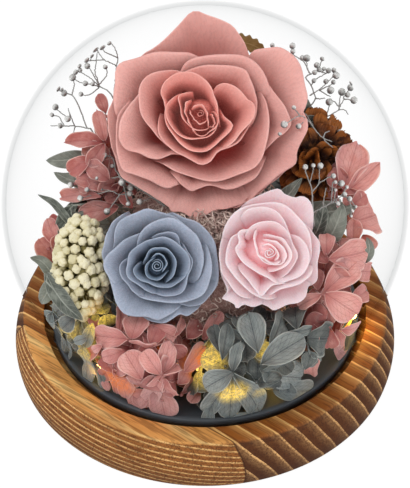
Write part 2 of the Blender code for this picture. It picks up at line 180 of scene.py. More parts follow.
def throughPoints(points, count):  # a smooth curve through the points, at even steps
    points = np.asarray(points, float)
    padded = np.vstack([2 * points[0] - points[1], points, 2 * points[-1] - points[-2]])
    t = np.linspace(0, 1, 12, endpoint=False)[:, None]
    runs = []
    for k in range(len(points) - 1):
        a, b, c, d = padded[k:k + 4]
        runs.append(0.5 * (2 * b + (c - a) * t + (2 * a - 5 * b + 4 * c - d) * t**2
                           + (3 * b - a - 3 * c + d) * t**3))
    curve = np.vstack(runs + [points[-1:]])
    walked = np.concatenate([[0], np.cumsum(np.linalg.norm(np.diff(curve, axis=0), axis=1))])
    steps = np.linspace(0, walked[-1], count)
    return np.stack([np.interp(steps, walked, curve[:, k]) for k in range(curve.shape[1])], axis=1)


def shadeRows(*values):
    return np.stack(np.broadcast_arrays(*values), -1).reshape(-1, 4)


def gather(parts):  # several parts as one
    points, faces, shades, start = [], [], [], 0
    for partPoints, partFaces, partShades in parts:
        points.append(partPoints)
        shades.append(partShades)
        faces.extend(group + start for group in partFaces)
        start += len(partPoints)
    return np.vstack(points), faces, np.vstack(shades)


def makePiece(name, parts, finish, slot, replaces=()):
    points, faces, shades = gather(parts)
    sizes = np.concatenate([np.full(len(group), group.shape[1]) for group in faces])
    mesh = bpy.data.meshes.new(name)
    mesh.vertices.add(len(points))
    mesh.vertices.foreach_set("co", (points * mm).astype(np.float32).ravel())
    corners = np.concatenate([group.ravel() for group in faces])
    mesh.loops.add(len(corners))
    mesh.loops.foreach_set("vertex_index", corners.astype(np.int32))
    mesh.polygons.add(len(sizes))
    mesh.polygons.foreach_set("loop_start", np.concatenate([[0], np.cumsum(sizes)[:-1]]).astype(np.int32))
    mesh.update(calc_edges=True)
    mesh.shade_smooth()
    layer = mesh.color_attributes.new("shade", "FLOAT_COLOR", "POINT")
    layer.data.foreach_set("color", shades.astype(np.float32).ravel())
    mesh.materials.append(finish.material)
    piece = bpy.data.objects.new(name, mesh)
    bpy.context.scene.collection.objects.link(piece)
    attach(piece, "root")
    if replaces:
        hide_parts(*replaces)
    return piece


gridFaces = {}


def facesOfSheet(rows, cols):
    if (rows, cols) not in gridFaces:
        index = np.arange(rows * cols).reshape(rows, cols)
        front = np.stack([index[:-1, :-1], index[:-1, 1:], index[1:, 1:], index[1:, :-1]], -1).reshape(-1, 4)
        back = front[:, ::-1] + rows * cols
        rim = np.concatenate([index[0, :], index[1:, -1], index[-1, -2::-1], index[-2:0:-1, 0]])
        after = np.roll(rim, -1)
        side = np.stack([after, rim, rim + rows * cols, after + rows * cols], -1)
        gridFaces[rows, cols] = [np.vstack([front, back, side])]
    return gridFaces[rows, cols]


def sheetPart(grid, thick, shade=0.5, side=0.5):  # a thin closed sheet over a grid of points
    rows, cols = grid.shape[:2]
    normal = unit(np.cross(np.gradient(grid, axis=1), np.gradient(grid, axis=0)))
    v, u = np.mgrid[0:1:rows * 1j, 0:1:cols * 1j]
    edge = np.minimum(np.minimum(u, 1 - u) * (cols - 1), (1 - v) * (rows - 1))
    half = thick / 2 * np.where(edge < 0.5, 0.4, 1.0)[..., None]  # thinner along the rim
    points = np.vstack([(grid + normal * half).reshape(-1, 3), (grid - normal * half).reshape(-1, 3)])
    return points, facesOfSheet(rows, cols), np.tile(shadeRows(v, u, shade, side), (2, 1))


def facesOfRings(rows, sides):  # walls between rings of points, then a cap to each of two last points
    index = np.arange(rows * sides).reshape(rows, sides)
    after = np.roll(index, -1, axis=1)
    walls = np.stack([index[:-1], index[1:], after[1:], after[:-1]], -1).reshape(-1, 4)
    first = np.stack([np.full(sides, rows * sides), index[0], after[0]], -1)
    last = np.stack([np.full(sides, rows * sides + 1), after[-1], index[-1]], -1)
    return [walls, first, last]


def tubePart(path, radii, sides=6, shade=0.5):  # a round tube along a path, closed at both ends
    path = np.asarray(path, float)
    radii = np.broadcast_to(radii, len(path))
    run = unit(np.gradient(path, axis=0))
    aside = np.cross(run[0], [0.31, 0.87, 0.39])
    angle = np.linspace(0, 2 * math.pi, sides, endpoint=False)[:, None]
    rings = []
    for k in range(len(path)):
        aside = unit(aside - run[k] * aside.dot(run[k]))
        other = np.cross(run[k], aside)
        rings.append(path[k] + radii[k] * (np.cos(angle) * aside + np.sin(angle) * other))
    index = np.arange(len(path) * sides).reshape(len(path), sides)
    after = np.roll(index, -1, axis=1)
    walls = np.stack([index[:-1], after[:-1], after[1:], index[1:]], -1).reshape(-1, 4)
    ends = np.stack([index[0, ::-1], index[-1]])
    along = np.repeat(np.linspace(0, 1, len(path)), sides)
    return np.vstack(rings), [walls, ends], shadeRows(along, 0.5, shade, 1.0)


def turnedPart(profile, segments):  # a solid of revolution, the profile runs axis to axis
    profile = np.asarray(profile, float)
    angle = np.linspace(0, 2 * math.pi, segments, endpoint=False)
    inner = profile[1:-1]
    rings = np.stack([inner[:, None, 0] * np.cos(angle), inner[:, None, 0] * np.sin(angle),
                      np.repeat(inner[:, None, 1], segments, 1)], -1).reshape(-1, 3)
    points = np.vstack([rings, [[0, 0, profile[0, 1]], [0, 0, profile[-1, 1]]]])
    return points, facesOfRings(len(inner), segments), shadeRows(np.full(len(points), 0.5), 0.5, 0.5, 1.0)


def ballPart(centre, radius, rings=7, sides=10, shade=0.5, along=(0, 0, 1), scales=None):
    # A ball or bud. scales gives a share of the radius for each direction.
    tilt = np.linspace(0, math.pi, rings + 2)[1:-1]
    angle = np.linspace(0, 2 * math.pi, sides, endpoint=False)
    local = np.stack([np.outer(np.sin(tilt), np.cos(angle)), np.outer(np.sin(tilt), np.sin(angle)),
                      np.repeat(np.cos(tilt)[:, None], sides, 1)], -1).reshape(-1, 3)
    local = np.vstack([local, [[0, 0, 1], [0, 0, -1]]])
    if scales is not None:
        local = local * scales(local)[:, None]
    points = local * radius @ frameFor(along) + centre
    return points, facesOfRings(rings, sides), shadeRows((1 + local[:, 2]) / 2, 0.5, shade, 1.0)


def tilted(tilt, spin):  # a direction that leans from 'out' by one angle and is turned round it by another
    return np.array([math.sin(tilt) * math.cos(spin), math.sin(tilt) * math.sin(spin), math.cos(tilt)])


def overBall(k, count):  # the direction of one of a count of points spread evenly over a ball
    height, angle = 1 - 2 * (k + 0.5) / count, k * goldenAngle
    flat = math.sqrt(1 - height**2)
    return np.array([flat * math.cos(angle), height, flat * math.sin(angle)])


def anyTurn(rng):
    return rng.uniform(0, 6.3)


# Inside the glass, above the tray

trayTop = 26.7
glassInside = {"ball": 97.5, "shoulder": -45.0, "collar": 80.5, "collarTop": -62.0, "air": 0.9, "give": 3.0,
               "floor": trayTop + 0.4}


def keepInside(points):
    limits = glassInside
    local = points - globeCentre
    drop = np.clip((limits["shoulder"] - local[:, 2]) / (limits["shoulder"] - limits["collarTop"]), 0, 1)
    shoulder = math.sqrt(limits["ball"]**2 - limits["shoulder"]**2)
    bend = shoulder + (limits["collar"] - shoulder) * (1 - (1 - drop)**2)
    ball = np.sqrt(np.maximum(limits["ball"]**2 - local[:, 2]**2, 1.0))
    widest = np.where(drop > 0, bend, ball) - limits["air"]
    aside = np.hypot(local[:, 0], local[:, 1])
    soft = widest - limits["give"]
    over = np.maximum(aside - soft, 0)
    held = np.where(over > 0, soft + limits["give"] * (1 - np.exp(-over / limits["give"])), aside)
    share = (held / np.maximum(aside, 1e-6))[:, None]
    kept = np.concatenate([local[:, :2] * share, local[:, 2:]], axis=1)
    kept[:, 2] = np.maximum(kept[:, 2], limits["floor"] - globeCentre[2])
    return kept + globeCentre


def settled(parts):  # from the leaning frame into the globe, and kept off its glass
    return [(keepInside(facing(points)), faces, shades) for points, faces, shades in parts]


# The wooden base: a main board and, along the front, a second one with flatter rings

wood = {
    "height": 27.0, "topRadius": 95.2, "footRadius": 99.3, "bulge": 2.29, "edge": 2.2, "footEdge": 1.3,
    "seatRadius": 83.8, "seatFloor": 21.0, "seatEdge": 0.7, "pocketRadius": 36.0, "pocketDepth": 14.0,
    "grain": math.radians(36.6),   # how far the boards turn from the front edge
    "joint": -66.9,                # where the two glued boards meet, across the grain
    # how much each way across the board, and the grain's wander, count in its rings, and the rings' step
    "frontRings": {"along": 0.0, "across": 0.199, "up": 0.98, "wander": 0.45, "step": 3.0},
    "mainRings": {"along": 0.02, "across": 0.91, "up": 0.42, "wander": 1.3, "step": 7.6},
    # tones of the main board and of the front one; the side tones are darker than the top's, partly the side's own cut
    # grain and partly painted shade
    "soft": (tone(150, 88, 36), tone(226, 162, 90)), "hard": (tone(250, 198, 124), tone(248, 202, 130)),
    "softSide": (tone(88, 50, 24), tone(158, 98, 46)), "hardSide": (tone(240, 186, 122), tone(246, 194, 124)),
    # foot is painted shade: the side goes darker towards the bottom
    "scorch": tone(104, 56, 22), "pore": tone(78, 38, 16), "speck": tone(66, 38, 24), "foot": tone(64, 36, 22),
    "glue": tone(60, 30, 14),
}


def roundedEdge(radius, height, size, down, angles):  # points round an outer edge, at a height or from it
    return [(radius - size * (1 - math.sin(a)), height - down * size * (1 - math.cos(a))) for a in angles]


def buildBase():
    top, foot, high = wood["topRadius"], wood["footRadius"], wood["height"]
    side = []
    for t in np.linspace(0, 1, 15):
        radius = top + (foot - top) * t + 4 * wood["bulge"] * t * (1 - t)
        side.append((radius, (high - wood["edge"]) * (1 - t) + wood["footEdge"] * t))
    quarter = math.pi / 2
    upperEdge = roundedEdge(top, high, wood["edge"], 1, np.linspace(0, quarter, 6)[:-1])
    lowerEdge = roundedEdge(foot, 0, wood["footEdge"], -1, np.linspace(quarter, 0, 5)[1:])
    seat, floor, round_ = wood["seatRadius"], wood["seatFloor"], wood["seatEdge"]
    profile = [(0, floor), (seat, floor), (seat, high - round_), (seat + 0.25, high - 0.2), (seat + round_, high)]
    profile += upperEdge + side + lowerEdge
    profile += [(wood["pocketRadius"], 0), (wood["pocketRadius"], wood["pocketDepth"]), (0, wood["pocketDepth"])]
    makePiece("scorched_base", [turnedPart(profile, 180)], woodFinish(), "scorched_pine", ["wood_base"])


def woodFinish():
    look = Finish("scorched pine", {"IOR": 1.45, "Specular IOR Level": 0.22})

    def grained(scale, detail, rough, squeeze):  # noise drawn out along the boards
        return look.noise(scale, detail, rough, look.stretched(wood["grain"], (squeeze, 1, 1)))

    along = look.node("ShaderNodeSeparateXYZ", {}, {0: look.stretched(wood["grain"], (1000, 1000, 1000))})
    across, up = along.output(1), along.output(2)
    inFront = across.fall(wood["joint"] - 0.1, wood["joint"] + 0.1)
    wander = (grained(14, 2, 0.5, 0.35) - 0.5) * 9 + (grained(60, 3, 0.6, 0.15) - 0.5) * 1.2

    def rings(share):
        total = along * share["along"] + across * share["across"] + up * share["up"] + wander * share["wander"]
        return (total / share["step"]).fraction()

    def lateWood(ring, slow, quick, share, last):  # darkens slowly, then quickly, and ends at once
        return (ring.fade(*slow) * share + ring.fade(*quick) * (1 - share)) * ring.fall(0.96, last)

    front, main = rings(wood["frontRings"]), rings(wood["mainRings"])
    lateFront = front.fade(0.58, 0.84) * front.fall(0.93, 1.0)
    lateMain = lateWood(main, (0.25, 0.82), (0.80, 0.92), 0.24, 0.995)
    crispMain = lateWood(main, (0.30, 0.80), (0.80, 0.91), 0.26, 0.99)
    soft, hard, softSide, hardSide = [look.blend(inFront, *wood[k]) for k in ("soft", "hard", "softSide", "hardSide")]
    late = look.blend(inFront, lateMain, lateFront)
    # top picks the top tones where the surface faces up and the darker side tones elsewhere: partly the side's own
    # grain, partly painted shade
    normal = look.node("ShaderNodeSeparateXYZ", {}, {0: look.node("ShaderNodeTexCoord", out="Normal")}, out=2)
    top = normal.fade(0.35, 0.85)
    onTop = look.blend(look.blend(inFront, crispMain, lateFront), soft, hard)
    pores, specks = grained(900, 2, 0.7, 0.06), look.noise(1400, 1, 0.6)
    look.paint("Base Color", look.coats(
        look.blend(top, look.blend(late, softSide, hardSide), onTop),
        (grained(26, 4, 0.6, 0.4).fade(0.42, 0.7) * 0.45, wood["scorch"]),
        (pores.fade(0.45, 0.62) * 0.5, wood["pore"]),
        (specks.fade(0.5, 0.7) * (1 - top) * 0.7, wood["speck"]),
        # painted shade: the side goes darker towards the bottom
        (up.fall(2, 16, 0.45), wood["foot"]),
        (abs(across - wood["joint"]).fall(0.15, 0.5) * 0.75, wood["glue"])))
    look.paint("Roughness", 0.36 + pores * 0.2 + (1 - top) * 0.12)
    look.bump(late * 0.5 + pores * -0.35 + specks * -0.2 * (1 - top), 0.00025, 0.7)
    return look


# The black tray, the battery box below it and the glass

tray = {"radius": 80.0, "top": trayTop, "floor": 21.3, "rim": 3.0, "step": 0.35,
        "shade": tone(80, 86, 92), "rough": 0.42, "grain": 2500}
box = {"radius": 35.5, "low": 0.6, "height": 13.0, "edge": 0.5, "lid": 30.0, "lidStep": 0.8,
       "screws": 3, "screwRadius": 1.6, "screwCircle": 24, "shade": tone(30, 30, 33), "rough": 0.5, "grain": 1800}
globe = {"radius": 100.0, "wall": 2.5, "shoulder": 45.0, "collar": 83.0, "collarTop": 62.0, "foot": 21.3, "edge": 0.6,
         "bending": 1.0003,        # real glass bends more, but the photo shows nothing bent
         "tint": (0.868, 0.872, 0.873, 1), "density": 64.0}
dustTone = tone(62, 64, 68)


def plasticFinish(name, piece):
    look = Finish(name, {"IOR": 1.46})
    dust = look.noise(45, 4, 0.6)
    look.paint("Base Color", look.blend(dust.fade(0.45, 0.8) * 0.5, piece["shade"], dustTone))
    look.paint("Roughness", piece["rough"] + dust * 0.18)
    look.bump(look.noise(piece["grain"], 2, 0.5), 0.00008, 0.5)
    return look


def buildTrayAndBox():
    step, top, outer, floor = tray["step"], tray["top"], tray["radius"], tray["floor"]
    inner = outer - tray["rim"]
    profile = [(0, top - step), (inner - 0.2, top - step), (inner + 0.1, top - step + 0.15), (inner + step, top - 0.1),
               (inner + step + 0.4, top), (outer - 0.5, top), (outer - 0.1, top - 0.2), (outer, top - 0.6),
               (outer, floor), (0, floor)]
    makePiece("tray_disc", [turnedPart(profile, 120)], plasticFinish("tray plastic", tray), "tray_plastic",
              ["black_tray"])
    outer, edge, lid, low = box["radius"], box["edge"], box["lid"], box["low"]
    high, ledge = low + box["height"], low + box["lidStep"]
    profile = [(0, high), (outer - edge, high), (outer, high - edge), (outer, low + edge), (outer - edge, low),
               (lid, low), (lid, ledge), (lid - 0.4, ledge), (lid - 0.6, low + 0.3), (6, low + 0.3),
               (5.4, low + 0.9), (0, low + 0.9)]
    parts = [turnedPart(profile, 96)]
    for k in range(box["screws"]):
        angle = math.pi / 2 + 2 * math.pi * k / box["screws"]
        centre = np.array([box["screwCircle"] * math.cos(angle), box["screwCircle"] * math.sin(angle), low + 0.25])
        parts.append(ballPart(centre, box["screwRadius"], 5, 12, scales=lambda d: 1 - 0.82 * np.abs(d[:, 2])))
    makePiece("battery_case", parts, plasticFinish("box plastic", box), "box_plastic", ["battery_box"])


def globeWall(radius, collar):
    lowest = -math.asin(globe["shoulder"] / radius)
    points = [(radius * math.cos(a), globeCentre[2] + radius * math.sin(a))
              for a in np.linspace(math.pi / 2, lowest, 60)]
    start, end = np.array(points[-1]), np.array([collar, globeCentre[2] - globe["collarTop"]])
    knee = np.array([collar, start[1] - (start[0] - collar) * start[0] / globe["shoulder"]])
    for t in np.linspace(0, 1, 9)[1:]:
        points.append(tuple(start * (1 - t)**2 + knee * 2 * t * (1 - t) + end * t * t))
    points[0] = (0, points[0][1])
    return points


def buildGlobe():
    collar, edge, foot = globe["collar"], globe["edge"], globe["foot"]
    within = collar - globe["wall"]
    lip = [(collar, foot + edge), (collar - edge, foot), (within + edge, foot), (within, foot + edge)]
    profile = globeWall(globe["radius"], collar) + lip + globeWall(globe["radius"] - globe["wall"], within)[::-1]
    look = Finish("clear glass", {"Transmission Weight": 1.0, "Roughness": 0.0, "IOR": globe["bending"],
                                  "Base Color": (1, 1, 1, 1)})
    depth = look.node("ShaderNodeVolumeAbsorption", {}, {"Color": globe["tint"], "Density": globe["density"]})
    look.plug(look.tree.nodes["Material Output"].inputs["Volume"], depth)
    piece = makePiece("glass_dome", [turnedPart(profile, 160)], look, "clear_glass", ["glass_globe"])
    piece.visible_shadow = False
    piece.visible_diffuse = False


buildBase()
buildTrayAndBox()
buildGlobe()
print("base, tray and glass built")


# The roses. Each petal row: how high its rim lies over the heart and how far its ends drop, its flare in
# degrees, its lip's size and how many degrees the lip rolls over, and the rim itself, across and up from the
# heart as the flower faces us. A roll: size, turns, depth, lift, how oval it is, and its place.


dustyRose = {
    "piece": "large_rose", "slot": "dusty_petal", "nodes": "dusty_rose",
    "top": (-1.9, 43.1, 22), "axis": (0, 0.12, 0.99), "radius": 53, "columns": 34, "rows": 17, "seed": 3,
    "finish": "dusty rose petal", "look": {
        "deep": tone(128, 24, 20), "inner": tone(250, 172, 160), "body": tone(246, 186, 178),
        "rim": tone(248, 204, 198), "sheen": (1.0, 0.72, 0.68, 1), "mottle": 0.14, "glow": 0.32, "heartGlow": 0.09,
        "through": 0.12, "gaps": 0.92},
    "petals": [
        (-15, 3, 35, 1.2, 60, [(27.7, 17.7), (24.5, 26.8), (21.4, 35.9), (18.6, 40.5), (15.1, 44.4), (8.7, 47.2),
            (2.1, 50), (-0.2, 51.5), (-2.5, 51.7), (-5, 51.3), (-8.1, 47.9), (-11.3, 44), (-17.9, 37.7),
            (-23.6, 32.8), (-28.8, 29.3), (-32.7, 21.9)]),
        (-8, 4, 18, 2.6, 130, [(4.5, 26.2), (-2.5, 29.3), (-6.6, 30.9), (-13.6, 31.3), (-21.3, 30.7), (-28.2, 29.1),
            (-34.5, 27.2), (-38.7, 25.5), (-41.1, 22), (-41.9, 16.5), (-42.8, 10.9), (-41.8, 3.2), (-39.7, -3.7)]),
        (-10, 4, 25, 2.8, 140, [(21.3, 22.9), (23.4, 28.5), (26.1, 32), (32.4, 33), (38.7, 33.2), (45, 29.9),
            (48.5, 23.6), (50.9, 13.1), (51.4, 7.5), (49.2, 0.6), (45, -6.4)]),
        (-5, 4, 25, 1.6, 110, [(-12.1, 15.5), (-9.4, 21.8), (-6.6, 25.4), (-1.1, 28), (5.9, 29.7), (12.8, 29.5),
            (19.8, 28.8), (25.3, 26.3), (30.2, 21.1), (33.3, 14.1), (34.3, 5.8)]),
        (-3, 4, 35, 1.2, 100, [(-12.1, 14), (-9.3, 20.2), (-5.2, 22.5), (3.1, 23.8), (11.4, 23.8), (18.3, 23),
            (22.3, 21.6), (24.2, 16.8), (25.9, 11.2), (27.3, 6.4), (26.6, 0.2), (24.5, -5.4)]),
        (-7, 4, 25, 1, 90, [(24, 14.3), (26.7, 17.1), (30.9, 16.7), (35.8, 10.8), (40, 4.6), (43.8, -2.9),
            (41.3, -7.6), (36.5, -11.4), (31.6, -15.6), (28.8, -20.5)]),
        (-4, 4, 45, 1, 90, [(24.6, 9.9), (28, 12), (31.2, 6.5), (32.4, 0.2), (32.4, -6.7), (31.5, -14.3),
            (29.8, -20.6), (26, -25.4), (18.3, -28.9), (10, -31.8), (3.1, -32), (-3.8, -30.3), (-12.1, -26.8),
            (-17.7, -23.3), (-23.2, -21.2)]),
        (-3, 4, 30, 1.4, 100, [(-25.9, 16.8), (-30.8, 9.2), (-34.9, 4.3), (-38.4, -3.3), (-39.6, -9.5),
            (-39.1, -12.3), (-36, -16.8), (-30.1, -18.5), (-25.3, -20.6), (-21.1, -21.4), (-17, -19.9),
            (-13.8, -18.5), (-8, -19.2)]),
        (-6, 4, 30, 1.2, 90, [(-33, 10.1), (-35.8, 5.9), (-39.6, 1), (-41.3, -4.5), (-41.5, -10.8), (-40.6, -19.1),
            (-37.9, -26.1), (-32.3, -28.1), (-25.4, -31.3), (-21.2, -33.7), (-16.3, -35.2), (-12.2, -33.7),
            (-6.6, -32.3)]),
        (-12, 3, 30, 1, 60, [(-41, 11.9), (-42.4, 8.4), (-45, 3.5), (-45.9, -0.7), (-44.8, -6.3), (-43.9, -13.3),
            (-42, -19.6), (-37.5, -25.9)]),
        (-1, 4, 40, 1, 90, [(-6.6, 19.7), (-9.3, 20.8), (-17.6, 20.9), (-25.2, 19.4), (-29, 15.6), (-30, 8.3),
            (-29.3, 2.1), (-26.6, -3.4), (-23.1, -7.5), (-20.4, -11), (-16.2, -15.8)]),
        (0, 4, 50, 0.8, 90, [(-20, 1.4), (-21, -3.4), (-20.9, -7.6), (-19.6, -11), (-16.2, -15.2), (-12.1, -18.3),
            (-7.9, -20), (-3.1, -22.7), (0.3, -23.9), (4.5, -22), (7.9, -17.6), (13.4, -15.5), (18.3, -12.7),
            (22.4, -6.9), (25.5, -0.7)]),
        (3, 3, 60, 0.8, 90, [(-16.1, -3.6), (-17.5, 2.6), (-18.2, 6.7), (-19.6, 10.8), (-17.5, 15.6), (-12, 19.1),
            (-6.5, 19.6), (-2.4, 19.1), (2.4, 16.3), (5.2, 12.9), (6.5, 9.4), (8.4, 5.3), (8.7, -0.2), (9.3, -5.7)]),
        (1, 4, 45, 0.9, 90, [(4.5, 9.6), (7.9, 14.1), (11.7, 15.6), (15.5, 14.4), (18.9, 11.3), (22.4, 7.5),
            (25.5, 5.4), (25.9, 1.3), (23.7, -3.5), (19.6, -8.3), (15.5, -12.8), (10, -16.6), (4.5, -17.9)]),
        (2, 3, 60, 0.8, 90, [(-16.1, 6.8), (-17.7, 2.6), (-17.5, -1.5), (-16.1, -6.3), (-12.7, -11.1), (-7.9, -15.2),
            (-3.8, -17.6), (1.7, -17.8), (6.5, -15.2), (11.3, -11.1), (14.4, -7), (14.8, -4.2), (11.3, -1.1),
            (9.3, 2.6)]),
        (2.5, 3, 70, 0.6, 80, [(-9.3, 10.9), (-13.4, 8.1), (-16.5, 4.7), (-16.8, -0.1), (-15.1, -4.9), (-11.7, -9.1),
            (-6.5, -11.5), (-1, -11.8), (3.8, -10.8), (7.6, -6.3), (7.9, -0.8)]),
        (2, 3, 75, 0.5, 70, [(-3.8, 10.9), (-7.9, 10.9), (-11, 9.2), (-10.3, 4), (-9.3, -0.1), (-7.2, -4.2),
            (-3.1, -7), (2.4, -7.3), (5.5, -4.2)]),
        (2.6, 2, 76, 0.5, 60, [(-5, 7.9), (-6.9, 6.5), (-7.6, 4.1), (-7.6, 1.2), (-6.9, -1.6), (-5.5, -4.5),
            (-4, -6.9), (-2.1, -9.3)]),
        (2.2, 2, 75, 0.4, 60, [(-4.5, -7.4), (-2.1, -9.8), (0.8, -10.2), (3.6, -9.3), (6, -7.4), (7.7, -4.5),
            (7.9, -1.1), (6.7, 1.2), (5.1, 1.7)]),
        (2.5, 2, 78, 0.4, 60, [(3.6, -6), (5.5, -6), (6.5, -4.5), (6.5, -2.1), (5.5, -0.2), (4.1, 0.3)]),
        (3.2, 1.5, 80, 0.4, 60, [(-5.7, 2.6), (-5, 0.2), (-3.6, -2.2), (-2.1, -3.8), (-0.4, -4.6), (1.2, -3.8),
            (2.7, -2.2)]),
        (4, 1.5, 82, 0.3, 60, [(3.6, -6), (3.6, -2.7), (2.9, 0.7), (1.7, 3.1), (0.3, 4.5), (-1.2, 5), (-3.1, 4),
            (-4.5, 2.6)]),
        (-11, 4, 20, 1.2, 90, [(46.4, 11.8), (49.2, 4.8), (51.9, -1.5), (51.3, -6.4), (49.2, -10.6), (46.4, -17.6),
            (45.9, -22.8), (41.5, -26.6), (35.3, -30.8), (29, -36.4), (24.1, -41.3), (18.5, -44.1)]),
        (-7, 4, 30, 1, 90, [(-16.4, -26), (-12.2, -30.2), (-9.4, -33.7), (-5.2, -36.8), (-2.5, -35.8), (2.4, -33.7),
            (7.3, -34.4), (11.5, -35.8), (18.4, -34.9), (24.7, -30.9), (28.8, -26), (32.3, -19.1)]),
        (-12, 3, 15, 0.8, 60, [(-30.5, -34.3), (-24.7, -37.1), (-20.2, -40.9), (-15.4, -44.1), (-14.4, -46.6),
            (-10.5, -46.9), (-4.6, -50.1), (-1.7, -50.6), (3.2, -47.7), (7.5, -45.7), (12.4, -45.3), (19.8, -42.9),
            (25.5, -37.8)]),
        (-14, 3, 20, 0.8, 60, [(7.5, -42.7), (15, -44.8), (19.8, -42.9), (22.2, -39.9), (25.1, -38.9), (30.1, -36.5),
            (35.4, -31.5), (41, -26.6), (45.2, -20.3)]),
        (-12, 3, 20, 0.8, 60, [(-43.8, -14.7), (-42, -19.6), (-41, -24.5), (-38.9, -29.4), (-34.4, -32.6),
            (-29.6, -35.5), (-24.7, -38.4), (-20, -41), (-13.7, -41.3)]),
    ],
    "rolls": [(1.9, 1.3, 10, 0.6, 0.14, -0.4, 0.6)],
    "core": [(0.4, -3.5), (4, -4), (7, -6), (9, -11), (11, -20), (12, -30)], "coreTone": 0.18,
    "stemEnd": (-2, 44, -25),
}

